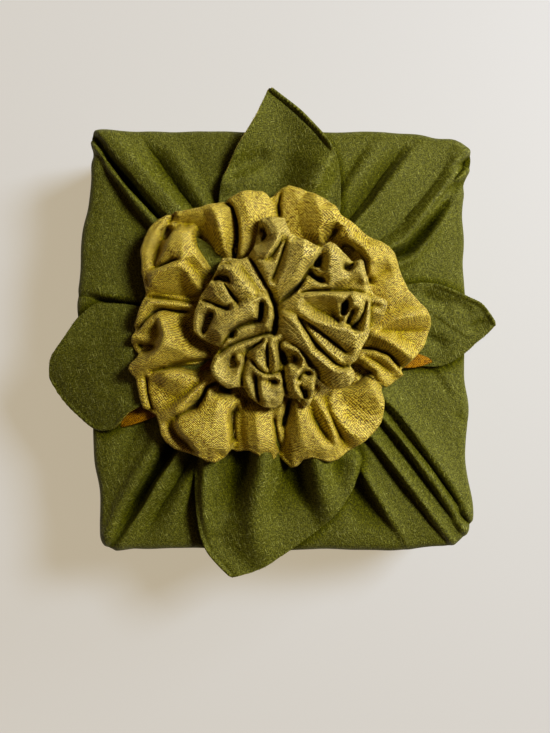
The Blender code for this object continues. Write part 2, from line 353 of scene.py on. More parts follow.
def givePaintedShade(item, values):
    # painted shade: how deep in a fold each point lies, from 0 to 1, and the cloth materials are
    # painted darker by it
    layer = item.data.attributes.new(paintedFoldShade["attribute"], "FLOAT", "POINT")
    layer.data.foreach_set("value", np.clip(values, 0, 1).astype(np.float32).ravel())


def layWeave(item, wander):
    # the weave seen level, and turned with each face by eighths of a turn where it is steep,
    # so that its threads keep their size; wander, in millimetres, moves it from fold to fold
    mesh = item.data
    corners = readValues(mesh.loops, "vertex_index", kind=np.int32)
    points = readValues(mesh.vertices, "co", 3)[corners] / mm
    normals = readValues(mesh.polygons, "normal", 3)
    normals = np.repeat(normals, readValues(mesh.polygons, "loop_total", kind=np.int32), axis=0)
    eighth = math.pi / 4
    sides = []
    for axis in (0, 1):
        tilt = np.arctan2(normals[:, axis], np.abs(normals[:, 2]) + 1e-6)
        tilt = np.round(tilt / eighth) * eighth
        sides.append(points[:, axis] * np.cos(tilt) - points[:, 2] * np.sin(tilt))
    uvs = np.stack(sides, axis=1) + wander[corners]
    mesh.uv_layers["cloth"].data.foreach_set("uv", uvs.astype(np.float32).ravel())


def gridNormals(grid, closed):
    if closed:
        around = np.roll(grid, -1, axis=0) - np.roll(grid, 1, axis=0)
    else:
        around = np.gradient(grid, axis=0)
    normal = np.cross(around, np.gradient(grid, axis=1))
    length = np.linalg.norm(normal, axis=2, keepdims=True)
    return normal / np.maximum(length, 1e-12)


def gridEdges(columns, rows, closed):
    # the points along each open edge of a grid, in the order that closes it to its back
    if closed:
        inner = [i * rows for i in range(columns)]
        return [inner[::-1], [k + rows - 1 for k in inner]]
    edge = list(range(rows))
    edge += [i * rows + rows - 1 for i in range(1, columns)]
    edge += [(columns - 1) * rows + j for j in range(rows - 2, -1, -1)]
    return [edge + [i * rows for i in range(columns - 2, 0, -1)]]


def thickSheet(name, middle, uvs, thickness, faceUp, faceDown, closed, thickening=0, backRows=None):
    # two faces half a thickness either side of a grid of points, closed along its edges.
    # backRows leaves rows out of the hidden face of a closed sheet
    columns, rows, _ = middle.shape
    kept = list(range(rows)) if backRows is None else list(backRows)
    offset = gridNormals(middle, closed) * (np.full((columns, rows, 1), thickness / 2) + thickening)
    front = (middle + offset).reshape(-1, 3)
    back = (middle - offset)[:, kept].reshape(-1, 3)
    total = columns * rows
    faces = gridFaces(columns, rows, closed)
    behind = [tuple(v + total for v in face[::-1]) for face in gridFaces(columns, len(kept), closed)]
    index = [0] * len(faces) + [1] * len(behind)
    faces += behind
    nearEdges, farEdges = (gridEdges(columns, count, closed) for count in (rows, len(kept)))
    for near, far in zip(nearEdges, farEdges):
        for k, m in zip(range(len(near)), [*range(1, len(near)), 0]):
            faces.append((near[k], near[m], far[m] + total, far[k] + total))
    index += [0] * (len(faces) - len(index))
    flat = np.vstack([uvs.reshape(-1, 2), uvs[:, kept].reshape(-1, 2)])
    return makeObject(name, np.vstack([front, back]), faces, flat, [faceUp, faceDown], index)


def blurred(grid, reach):
    half = int(math.ceil(3 * reach))
    weights = np.exp(-0.5 * (np.arange(-half, half + 1) / reach) ** 2)
    weights /= weights.sum()
    for axis in (0, 1):
        pad = [(half, half) if axis == k else (0, 0) for k in (0, 1)]
        wide = np.pad(grid, pad, mode="edge")
        spots = np.arange(grid.shape[axis])
        grid = sum(w * np.take(wide, spots + k, axis=axis) for k, w in enumerate(weights))
    return grid


# lengths are in millimetres
body = {
    "topHeight": 74.0,
    "crown": 6.5,
    "east": 105.2,
    "west": 98.2,
    "north": 99.6,
    "south": 128.6,
    "cornerPower": 30,
    "neckRadius": 6.5,
    "neckClimb": (9.0, 12.0),  # how far the cloth climbs to the knot, and over what distance
    "thickness": 0.9,
    "inset": 0.6,  # from the outline of the sides in to the middle of the cloth
    "shoulder": 5.5,
    "baseHole": 3.0,
    "baseInset": 5.0,
    "footCurl": 6.0,
    "footSlack": 0.25,  # how much of the sides' waves is left at the foot
    "baseHeight": 0.5,
    "fullSlack": 60.0,  # the height from which the sides have all of their waves
    "wallPleat": 0.18,  # how much of the top's folds runs on down the walls
    "edgeFold": 0.8,  # and how much of them stands at the top's edge
    "fanRadius": 80.0,  # where the folds have their full spread
    "foldLift": 1.35,
    "pinch": 1.3,  # how sharp a crease is at its bottom: 0 is round
    "paintedShadeDepth": 6.5,
    "columns": 640,
    "rows": {"base": 9, "wall": 22, "shoulder": 8, "top": 54},
    "waves": ((38, 1.7, 1), (14, 0.5, 2)),  # size, height and seed of the slack in the cloth
    "waveSquash": 0.6,
    "grain": 68,  # degrees that the weave is turned by
}

# angle, width and how far the side stands out there, in degrees and millimetres
swells = (
    (178, 15, 8), (160, 10, 2.5), (155, 9, 2.4), (138, 1.8, -3.2), (135.5, 4.5, 3.5), (129, 6, -2),
    (128, 5, 1.5), (47, 3.6, -2.6), (43, 9, -4.2), (38.3, 4.4, 5.8), (38.5, 2.2, 2), (34, 1.6, -1.4),
    (16, 14, -1), (-27, 6, 3.4), (-31, 10, -1.8), (-45, 5, 3.8), (-44.5, 3.2, 2.6), (-50.5, 2, -2.2),
    (-55, 4, -1.8), (205, 12, -1.2), (227.5, 6, -4.6), (232.5, 4, -2.8), (236, 3, 2.8), (225, 10, -1.9),
    (238, 2.5, -1.4), (49.5, 3.5, 1.8), (20, 5, 1.6),
)

# each fold line: its angle at the corner of the box, its angle at the ruffle, how high
# it stands at the corner and at the ruffle
foldLines = {
    "front right": (
        (-69, -76, 0, 0), (-66, -70, -0.3, -2.2), (-63, -65.8, -0.5, -4.2), (-60.8, -62.8, -0.4, -3),
        (-59.6, -60.6, 1, 3.4), (-57.6, -57.6, 0.4, 1.2), (-54.6, -54.6, -0.2, -0.4),
        (-52.7, -52.9, -1, -2.2), (-51.7, -51.2, 2.2, 4.4), (-50.8, -49, 0.8, 2.4),
        (-49.4, -45, -0.6, -2.2), (-48.5, -43.4, 2.2, 4.4), (-47.8, -41.9, 1, 2.6),
        (-46.9, -39.8, -3.4, -1.8), (-45.8, -37.8, 2.4, 4.4), (-44.2, -34.8, 1.4, 3.2),
        (-40, -28.5, 0.2, 0.6), (-35, -23, 0, 0),
    ),
    "back right": (
        (25, 12, 0, 0), (30.6, 18, 0.4, 2), (32.5, 21.2, 1.8, 4.8), (33.3, 22.6, 1.2, 2.6),
        (34.6, 24.4, -2.2, -5), (35.4, 26.2, -1.8, -4.4), (36.2, 27.2, 1.8, 1), (37, 27.6, -3, 3.2),
        (38.9, 28.2, -4.4, 4.6), (40, 28.8, 3.6, 5.4), (41, 30.4, 2.4, 4), (43, 33.8, 0, -0.4),
        (45.6, 40, 0.6, 0.8), (48.4, 45.4, 1, 3.6), (49.8, 47.2, 0.4, 4.4), (50.8, 48.8, 0, 0.8),
        (52, 50.6, -0.2, -3), (54.6, 54.5, 0, -1.4), (57.6, 58.5, 0.2, 0.9), (60, 62, -0.2, -1.4),
        (64, 67, 0, 0),
    ),
    "back left": (
        (113, 108, 0, 0), (118, 117, 0.2, -0.6), (121.4, 121.6, 0.6, 2.2), (126.6, 127, -0.4, -3.4),
        (129.8, 129.8, 0.8, 1), (132.4, 132.2, 3, 5.2), (133.8, 136, 3, 4.4), (134.4, 138.2, 0.5, 0.5),
        (135, 139.6, -3.8, -7), (135.9, 140.5, -3.4, -6.4), (136.5, 141.3, 2.6, 4),
        (136.9, 142.6, 2.8, 4.4), (137.5, 145, 0, -1.4), (139, 149.5, 0, -1.2), (143, 156, 0, 0),
    ),
    "left": (
        (169, 169.5, 0, 0), (172.4, 173.6, 0.4, 1.2), (174.6, 176.6, -1.8, -4.4),
        (177.6, 180, 0.2, 0.6), (182, 186, 0, 0),
    ),
    "front left": (
        (221, 208, 0, 0), (228.5, 217, 0.2, -1.2), (231.4, 223.2, 0.8, 1.8), (233.2, 226.8, 2.6, 4.8),
        (234, 228.8, 2.4, 4.2), (234.9, 231.4, -2, -6.6), (235.7, 233.8, -1.6, -5.2),
        (236.6, 236.2, 2.2, 4.6), (237.4, 238, 1.8, 3.6), (239.4, 241, -0.4, -3.4),
        (243.5, 243.6, 0.8, 2.4), (247, 246.2, -0.4, -2), (254, 254, 0, 0),
    ),
    "right": ((-31.5, -18, 0, 0), (-29.4, -14, -1, -0.6), (-26, -10, 0.3, 0.4), (-22, -6, 0, 0)),
}


def sideRadius(angle, slack):
    x, y = np.cos(np.radians(angle)), np.sin(np.radians(angle))
    reachX = np.where(x > 0, x / body["east"], -x / body["west"])
    reachY = np.where(y > 0, y / body["north"], -y / body["south"])
    power = body["cornerPower"]
    plain = (reachX**power + reachY**power) ** (-1 / power)
    for centre, width, out in swells:
        plain = plain + slack * out * np.exp(-((turned(angle, centre) / width) ** 2))
    return plain


def foldHeight(angle, radius, side):
    # every fold is a line that turns as it runs from the corner in to the ruffle: between
    # the lines the cloth is round over the crests and pinched at the bottom of the creases
    share = np.clip((side - radius) / (side - body["fanRadius"]), 0, 1)[:, None]
    inner = ease((radius - 14) / 50)
    height = np.zeros_like(angle)
    none = np.zeros((len(angle), 1))
    for lines in foldLines.values():
        table = np.array(lines, float)
        middle = table[:, 0].mean()
        local = middle + turned(angle, middle)
        outerAt, innerAt, outerRise, innerRise = table.T[:, None, :]
        at = outerAt + (innerAt - outerAt) * share
        rise = outerRise + (innerRise - outerRise) * ease(share * 1.6)
        slope = np.diff(rise, axis=1) / np.maximum(np.diff(at, axis=1), 1e-6)
        before, after = slope[:, :-1], slope[:, 1:]
        pinched, mean = (before < 0) & (after > 0), meanSlope(before, after)
        arriving = np.hstack([none, np.where(pinched, before * body["pinch"], mean), none])
        leaving = np.hstack([none, np.where(pinched, after * body["pinch"], mean), none])
        for k in range(len(table) - 1):
            width = np.maximum(at[:, k + 1] - at[:, k], 1e-6)
            t = (local - at[:, k]) / width
            ends = rise[:, k], leaving[:, k] * width, rise[:, k + 1], arriving[:, k + 1] * width
            height = np.where((t >= 0) & (t < 1), cubic(t, *ends), height)
    return height * inner * body["foldLift"]


def bodyAngles():
    # columns are closer together where the folds are, and closest at their middle
    grid = np.arange(3600) / 10
    density = np.full(len(grid), 0.45)
    for lines in foldLines.values():
        table = np.array(lines, float)
        low, high = table[:, :2].min() - 1, table[:, :2].max() + 1
        density += np.abs(turned(grid, (low + high) / 2)) < (high - low) / 2
        density += 1.6 * (np.abs(turned(grid, table[:, 0].mean())) < 8)
    total = np.cumsum(density)
    return np.interp(np.arange(body["columns"]) / body["columns"] * total[-1], total, grid)


def closeBase(item, columns, rows):
    # the middle of the base is closed by a small fan on both faces
    mesh = bmesh.new()
    mesh.from_mesh(item.data)
    mesh.verts.ensure_lookup_table()
    total = columns * rows
    backRows = (len(mesh.verts) - total) // columns
    holes = [
        [mesh.verts[i * rows] for i in range(columns)],
        [mesh.verts[i * backRows + total] for i in range(columns)],
    ]
    rim = {point for hole in holes for point in hole}
    walls = [face for face in mesh.faces if all(point in rim for point in face.verts)]
    bmesh.ops.delete(mesh, geom=walls, context="FACES_ONLY")
    for hole in holes:
        hole = set(hole)
        ends = [edge for edge in mesh.edges if edge.is_boundary and hole.issuperset(edge.verts)]
        made = bmesh.ops.holes_fill(mesh, edges=ends, sides=0)
        bmesh.ops.triangulate(mesh, faces=made["faces"])
    bmesh.ops.recalc_face_normals(mesh, faces=mesh.faces)
    mesh.to_mesh(item.data)
    mesh.free()


def buildBody():
    angles = bodyAngles()
    top, size, low = body["topHeight"], body["shoulder"], body["baseHeight"]
    inset, wallPleat, onEdge = body["inset"], body["wallPleat"], body["edgeFold"]
    # the cloth's run from the middle of the base to the knot: (stage, place in it)
    run = []
    for stage, count in body["rows"].items():
        run += [(stage, s) for s in np.linspace(0.0, 1.0, count)[0 if stage == "base" else 1 :]]
    rows, uvRows, shadeRows = [], [], []
    slack = body["footSlack"]
    side, foot = sideRadius(angles, 1.0), sideRadius(angles, slack)
    edgeFold = foldHeight(angles, side - 1.0, side)
    cosA, sinA = np.cos(np.radians(angles)), np.sin(np.radians(angles))
    grain = np.radians(angles + body["grain"])
    for stage, s in run:
        drop, fold = 0 * side, 0 * side  # how far the row hangs below the top, and its folds
        if stage == "base":
            hole = body["baseHole"]
            radius = hole + (foot - hole - body["baseInset"]) * s
            z = np.full_like(radius, low)
        elif stage == "wall":
            z = np.full_like(side, low + (top - size - low - 0.5) * s)
            outline = sideRadius(angles, slack + (1 - slack) * ease(z[0] / body["fullSlack"]))
            curl = body["footCurl"] * (1 - ease(s / 0.1))
            pleat = edgeFold * wallPleat * ease((s - 0.35) / 0.65)
            radius = outline - inset - curl + pleat
            drop = top - z
        elif stage == "shoulder":
            turn = s * np.pi / 2
            radius = side - inset + edgeFold * wallPleat * (1 - s) - size * (1 - np.cos(turn))
            z = top - size + size * np.sin(turn) + edgeFold * onEdge * s
            drop = np.maximum(top - z, 0)
            fold = edgeFold
        else:
            start = side - inset - size
            radius = start + (body["neckRadius"] - start) * s**0.92
            height, reach = body["neckClimb"]
            climb = height * np.exp(-(radius - body["neckRadius"]) / reach)
            crown = body["crown"] * (1 - (radius / side) ** 2)
            settle = ease(s / 0.06)
            fold = foldHeight(angles, radius, side) * settle + edgeFold * onEdge * (1 - settle)
            z = top + fold + climb + crown
        rows.append(np.stack([knot.x / mm + radius * cosA, knot.y / mm + radius * sinA, z], axis=1))
        shadeRows.append(fold)
        # laid flat: the wall is turned out level with the top
        flat = side + top + (foot - radius) if stage == "base" else radius + drop
        uvRows.append(np.stack([flat * np.cos(grain), flat * np.sin(grain)], axis=1))
    middle = np.stack(rows, axis=1) * mm
    count, rowCount, _ = middle.shape
    # slack in the cloth: long shallow waves on the walls and the open parts of the top
    points, squash, wave = middle.reshape(-1, 3), np.array([1, 1, body["waveSquash"]]), 0
    for reach, height, seed in body["waves"]:
        wave = wave + softNoise(points * squash, reach * mm, seed) * height
        squash = 1
    wave = wave.reshape(count, rowCount) * mm
    rowIndex, baseRows = np.arange(rowCount), body["rows"]["base"]
    loose = np.where(rowIndex < baseRows + 3, 0.0, 1.0) * np.clip((rowCount - rowIndex) / 20, 0, 1)
    middle += gridNormals(middle, closed=True) * (wave * loose[None, :])[:, :, None]
    middle[:, :baseRows, 2] = body["thickness"] / 2 * mm
    kept = [*range(0, rowCount - 1, 2), rowCount - 1]
    # the inside can't be seen, and with green on it no gold can show through a crease
    faces = greenFace, greenFace
    item = thickSheet(
        "wrappedCloth",
        middle,
        np.stack(uvRows, axis=1),
        body["thickness"] * mm,
        *faces,
        closed=True,
        backRows=kept,
    )
    # painted shade in the bottoms of the folds: the deeper the crease, the darker
    valley = np.clip(-np.stack(shadeRows, axis=1) / body["paintedShadeDepth"], 0, 1) ** 1.3
    givePaintedShade(item, np.concatenate([valley.ravel(), valley[:, kept].ravel()]))
    closeBase(item, count, rowCount)
    return item


wrappedCloth = buildBody()
print("body", len(wrappedCloth.data.polygons))

# the leaves are the four ends of the cloth, spread out under the rosette. Each row holds
# the distance from the knot, the angle of either edge, and the height at the one edge, in
# the middle and at the other. A ridge is (its line, reach to its left, reach to its right).
# A hem is its roll, the depth of the groove inside it and the distances it runs between
leaves = {
    "leafRight": {
        "rows": (
            (7, -35, 35, 88.5, 88.5, 88.5), (18, -25, 24, 86.5, 88.5, 86.5),
            (38, -16, 14, 83.5, 85.5, 83.5), (60, -19, 12.5, 81.5, 84, 82.5),
            (80, -20, 11.3, 79, 82.5, 83), (88, -18.9, 10, 78.5, 81.5, 83),
            (94, -17.6, 8.2, 78.5, 81.5, 82.8), (100.5, -14.7, 6.1, 79.2, 81.5, 82.5),
            (105, -12, 4.6, 79.8, 81.5, 82), (111.5, -7.6, 2.6, 80.8, 81.6, 82),
            (115.3, -5.6, 0.2, 81.2, 81.6, 82), (119.4, -3.2, -2.8, 81.5, 81.5, 81.5),
        ),
        "ridges": (
            (((83, 2, 0.4), (94, -5.5, 0.6), (105.5, -13, 0.3)), 1.2, 1),
            (((84, 0.5, -0.5), (94, -7, -0.5), (104, -13.5, -0.2)), 1.8, 1.8),
            (((83, 8, -2.6), (92, 4.5, -2.2)), 4, 3), (((84, -13, -2), (90, -16, -2.2)), 3, 3.5),
            (((98, 5.5, -1.6), (104, 1.5, -1.6)), 3, 3), (((108, -7, -2), (113, -5.5, -1.8)), 2.5, 3),
            (((78, 14.5, 0.9), (92, 14, 1), (102, 9.5, 0.4)), 2, 3),
        ),
        "hem": (0.6, 0.2, 86, 119),
        "hemmed": "high",
    },
    "leafBack": {
        "rows": (
            (7, 55, 125, 88.5, 88.5, 88.5), (18, 62, 118, 85, 88.5, 86.5), (38, 58, 113, 83, 85, 83.5),
            (60, 55, 117, 80, 81.5, 82), (74, 60.2, 111.3, 80.5, 81, 83.5),
            (82, 63.8, 106.2, 81.5, 81.2, 85), (89, 67.7, 102.2, 83, 82, 86.5),
            (99, 75, 96.7, 84.5, 83.5, 88), (107, 81.5, 93.7, 85.8, 85.2, 88),
            (114, 87.1, 91.9, 86.5, 86.5, 87.5), (118.4, 90.2, 90.9, 87, 87, 87),
        ),
        "ridges": (
            (((18, 58, 7), (23, 66.5, 13), (27.5, 76, 13.5), (32, 85, 7)), 12, 5),
            (((-19.5, 76, -3.6), (-13, 80.5, -4.8), (-6.5, 83, -3.6)), 4.6, 5),
            (((-24, 68, 2.6), (-14, 71.5, 3), (-6, 72, 1.6)), 4.5, 4.5),
            (((-10, 106, 1.2), (-15, 94, 1.6), (-19, 84, 1)), 6, 4),
            (((2, 67, -2), (6.5, 80, -2.4), (9, 93, -1.4)), 7, 7),
        ),
        "hem": (1.3, 1, 91, 125),
        "hemmed": "low",
    },
    "leafLeft": {
        "rows": (
            (7, 155, 225, 88.5, 88.5, 88.5), (18, 168, 222, 86.5, 88.5, 86.5),
            (38, 178, 217, 83.5, 85, 84), (62, 178, 217, 80.5, 84, 85),
            (80, 176.5, 216, 78.5, 83, 85.5), (92, 176.5, 215, 77.5, 78.5, 84.5),
            (103.6, 180.6, 216.2, 76, 75.2, 80.5), (110, 184.5, 215, 74.5, 72.2, 77),
            (114.3, 187, 212.8, 73, 70.3, 73), (119.6, 189.5, 207, 71, 68, 68.6),
            (123.7, 191.6, 202.4, 68.5, 66, 65.5), (127.2, 195.4, 196.8, 65, 64.5, 64.5),
        ),
        "ridges": (
            (((-70, -30, -1.4), (-84, -38, -1)), 6, 6),
            (((-74, -14, 1.2), (-96, -22, 1), (-110, -33, 0.5)), 7, 7),
        ),
        "hem": (0.9, 0.3, 70, 118),
        "hemmed": "high",
    },
    "leafFront": {
        "paintedShadeStrength": 1,
        "rows": (
            (7, 235, 305, 88.5, 88.5, 88.5), (18, 240, 300, 86, 88.5, 86),
            (40, 244, 302, 83.5, 83.5, 83.5), (66, 243.6, 304, 81, 83, 81),
            (90, 243.3, 302, 81, 82.5, 80), (99, 245.5, 297, 82, 81.8, 79.8),
            (108, 247.9, 290.9, 82.5, 81.2, 79.6), (117, 250.2, 283.2, 82.5, 81.2, 79.6),
            (124, 252, 277, 82, 80.8, 79.4), (131.6, 254.6, 271.2, 81.2, 80, 79),
            (138, 258.1, 266.8, 79.8, 79.2, 78.4), (142, 260.4, 263, 78.5, 78.7, 79),
            (143.2, 261, 261.6, 78.5, 78.5, 78.5),
        ),
        "ridges": (
            (((-35, -70, 6.5), (-36, -95, 6.5), (-35.5, -108, 4.5), (-33, -121, 1)), 5, 3),
            (((-14, -68, -4), (-16, -84, -4), (-24, -104, -3), (-29, -118, -1.5)), 5, 5.5),
            (
                (
                    (-3.5, -60, 13.5), (-5, -80, 13.5), (-8, -96, 11.5), (-9.5, -110, 8.5),
                    (-8, -122, 5), (-3, -133, 1.8),
                ),
                9, 7.5,
            ),
            (((9, -66, -4.5), (11, -84, -4.5), (16, -98, -3), (22, -110, -1)), 4.5, 4.5),
            (
                ((21, -60, 13.5), (24, -80, 13.5), (27, -95, 10.5), (31, -107, 5.5), (34, -113, 1.5)),
                8, 7,
            ),
            (((44, -80, 7), (42, -92, 5.5), (38, -102, 2)), 3, 7),
            (((-26, -124, -1.8), (-14, -136, -1.2)), 6, 5),
        ),
        "hem": (0.5, 0.4, 112, 145),
        "hemmed": "low",
    },
}
leafShared = {
    "thickness": 0.8,
    "hemWidth": 2.2,
    "hemThickening": 0.25,
    "hemRoll": (0.5, 0.9),  # how far in from the edge it is highest, and its width
    "hemGroove": 0.8,
    "grain": 72,  # degrees that the weave is turned by
    # size, height and seed of what is uneven: the cloth, its cut edge and its hem
    "ripples": ((18, 0.7, 5), (6, 0.18, 6)),
    "edgeWander": (4.5, 0.35, 8),
    "hemUneven": (11, 0.55, 12),
    "valleyReach": 9.0,
    "valleyDepth": 2.6,
    "across": 110,
    "along": 150,
}


def ridgeField(x, y, ridges):
    # soft ridges and, where the rise is negative, troughs, each walked away from the knot
    total = np.zeros_like(x)
    for line, leftReach, rightReach in ridges:
        line = np.array(line, float)
        best = np.full(x.shape, 1e9)
        rise, reach = np.zeros_like(x), np.ones_like(x)
        for a, b in zip(line, line[1:]):
            run = b[:2] - a[:2]
            length = np.hypot(*run)
            t = np.clip(((x - a[0]) * run[0] + (y - a[1]) * run[1]) / length**2, 0, 1)
            offX, offY = x - a[0] - t * run[0], y - a[1] - t * run[1]
            gap = np.hypot(offX, offY)
            side = (run[0] * offY - run[1] * offX) / (length * np.maximum(gap, 1e-6))
            nearer = gap < best
            best = np.where(nearer, gap, best)
            rise = np.where(nearer, a[2] + (b[2] - a[2]) * t, rise)
            blend = (leftReach + rightReach + side * (leftReach - rightReach)) / 2
            reach = np.where(nearer, blend, reach)
        total = total + rise * np.exp(-((best / reach) ** 2))
    return total


def leafGrid(spec, across, along):
    # columns run from the low to the high angle, rows outwards and closer at the tip
    table = np.array(spec["rows"], float)
    radii = table[:, 0]
    radius = radii[0] + (radii[-1] - radii[0]) * np.linspace(0, 1, along) ** 0.8
    low, high, first, centre, last = (
        smoothCurve(radii, column, radius)[None, :] for column in table[:, 1:].T
    )
    share = np.linspace(0, 1, across)[:, None]
    angle = np.radians(low + (high - low) * share)
    z = first + (last - first) * share + (centre - (first + last) / 2) * 4 * share * (1 - share)
    x, y = radius[None, :] * np.cos(angle), radius[None, :] * np.sin(angle)
    z = z + ridgeField(x, y, spec.get("ridges", ())) * ease((radius - 25) / 30)[None, :]
    return np.stack([x, y, z], axis=2), radius


def edgeGap(grid, column):
    # how far each point is from one long edge
    line = grid[column, ::2, :2]
    flat = grid[:, :, :2].reshape(-1, 1, 2)
    return np.linalg.norm(flat - line[None], axis=2).min(axis=1).reshape(grid.shape[:2])


def edgeColumns(spec):
    # the hemmed edge and the raw one
    return (0, -1) if spec["hemmed"] == "low" else (-1, 0)


def buildLeaf(name, spec):
    shape = leafShared
    grid, radius = leafGrid(spec, shape["across"], shape["along"])
    hemGap, rawGap = (edgeGap(grid, column) for column in edgeColumns(spec))
    flat = grid.reshape(-1, 3) * mm

    def uneven(size, height, seed):
        return softNoise(flat, size * mm, seed).reshape(grid.shape[:2]) * height

    ripple = sum(uneven(*wave) for wave in shape["ripples"])
    grid[:, :, 2] += ripple * ease((radius - 20) / 30)[None, :]
    # the cut edge wanders by a thread or two
    wander = uneven(*shape["edgeWander"]) * np.exp(-rawGap / 2)
    grid[:, :, :2] *= 1 + (wander / np.maximum(radius, 1)[None, :])[:, :, None]
    # the hem is rolled: it stands up at the edge with a groove inside it
    rollRise, grooveDepth, first, last = spec["hem"]
    sewn = (ease((radius - first + 4) / 8) * (1 - ease((radius - last - 2) / 8)))[None, :]
    rollAt, rollWidth = shape["hemRoll"]
    roll = rollRise * np.exp(-(((hemGap - rollAt) / rollWidth) ** 2))
    groove = grooveDepth * np.exp(-(((hemGap - shape["hemWidth"]) / shape["hemGroove"]) ** 2))
    grid[:, :, 2] += (0.9 + uneven(*shape["hemUneven"])) * (roll - groove) * sewn
    turn = math.radians(shape["grain"])
    x, y = grid[:, :, 0], grid[:, :, 1]
    sides = x * math.cos(turn) - y * math.sin(turn), x * math.sin(turn) + y * math.cos(turn)
    placed = (grid + knotAt / mm) * mm
    thickening = shape["hemThickening"] * np.exp(-((hemGap / shape["hemWidth"]) ** 4)) * mm
    item = thickSheet(
        name,
        placed,
        np.stack(sides, axis=2),
        shape["thickness"] * mm,
        goldFace,  # columns and rows run so that the grid's front faces down
        greenFace,
        closed=False,
        thickening=thickening[:, :, None],
    )
    # painted shade in the valleys between the folds, where they run in under the ruffle
    valley = blurred(grid[:, :, 2], shape["valleyReach"]) - grid[:, :, 2]
    valley = valley / shape["valleyDepth"]
    valley = valley * (1 - ease((radius - 80) / 34))[None, :] * spec.get("paintedShadeStrength", 0)
    givePaintedShade(item, np.concatenate([valley.ravel(), valley.ravel()]))
    return item, placed


leafObjects, leafGrids = {}, {}
for leafName, leafSpec in leaves.items():
    leafObjects[leafName], leafGrids[leafName] = buildLeaf(leafName, leafSpec)
print("leaves", list(leafObjects))

# painted shadow: the wrap is painted darker close beside and under the edges of the leaves
leafShadowPaint = {"reach": 3.2, "depth": 0.85, "lowest": 55}


def paintShadowUnderLeaves(item, grids, look):
    layer = item.data.attributes[paintedFoldShade["attribute"]].data
    values = readValues(layer, "value")
    points = readValues(item.data.vertices, "co", 3) / mm
    high = ease((points[:, 2] - look["lowest"]) / 10)
    for placed in grids.values():
        for edge in (placed[0] / mm, placed[-1] / mm):
            gap = np.full(len(points), 1e3)
            for x, y, _ in edge[::3]:
                gap = np.minimum(gap, np.hypot(points[:, 0] - x, points[:, 1] - y))
            near = look["depth"] * high * np.exp(-((gap / look["reach"]) ** 2))
            values = np.maximum(values, near)
    layer.foreach_set("value", values.astype(np.float32))


paintShadowUnderLeaves(wrappedCloth, leafGrids, leafShadowPaint)

# the gold back that shows where the cloth is tucked in beside two of the leaves, and the
# green face at the bottom of the hollow between two folds of the ruffle, in rows as above
tuckShared = {"across": 24, "along": 40, "thickness": 0.7}
tucks = {
    "tuckRight": (
        (40, -30, -4, 84, 84, 84), (66, -25, -9, 82.5, 82.5, 82), (80, -21.5, -13.5, 80.8, 81, 79.6),
        (89.5, -17.2, -16.6, 79, 79, 79),
    ),
    "tuckLeft": (
        (40, 206, 232, 84, 84, 84), (66, 209, 227, 79, 81.5, 83), (84, 212, 221.5, 77, 79.6, 82),
        (96, 213.8, 218.6, 76.6, 78.2, 80), (101.6, 216.4, 217.2, 77, 77, 77),
    ),
    "tuckBack": (
        (33, 128, 148, 93, 93, 93), (45, 132, 148, 92.5, 92, 92.5), (52, 134, 143.5, 92, 91.5, 92),
        (58, 136, 139, 91, 91, 91),
    ),
}


def buildTuck(name, rows):
    grid, _ = leafGrid({"rows": rows}, tuckShared["across"], tuckShared["along"])
    placed = (grid + knotAt / mm) * mm
    # the tucks wear the gold in painted shade
    face = greenFace if name == "tuckBack" else shadedGoldBack
    thickness = tuckShared["thickness"] * mm
    return thickSheet(name, placed, grid[:, :, :2], thickness, shadedGoldBack, face, closed=False)


tuckObjects = {name: buildTuck(name, rows) for name, rows in tucks.items()}


# sewn and loose threads along the edges: one tree lays short threads along a line, each
# aimed by the line's own "aim" attribute. "inward" and "lift" place the line on its leaf
hemStitches = {
    "spacing": 2.4,
    "length": 1.5,
    "thickness": 0.32,
    "lean": 0.12,
    "seed": 3,
    "inward": leafShared["hemWidth"],
    "lift": 0.35,
}
frayedThreads = {
    "spacing": 0.9,
    "length": 1.1,
    "thickness": 0.2,
    "lean": 1.1,
    "seed": 8,
    "inward": 0.05,
    "lift": 0.1,
}
firstRow = 60  # further in, the edges lie hidden under the ruffle


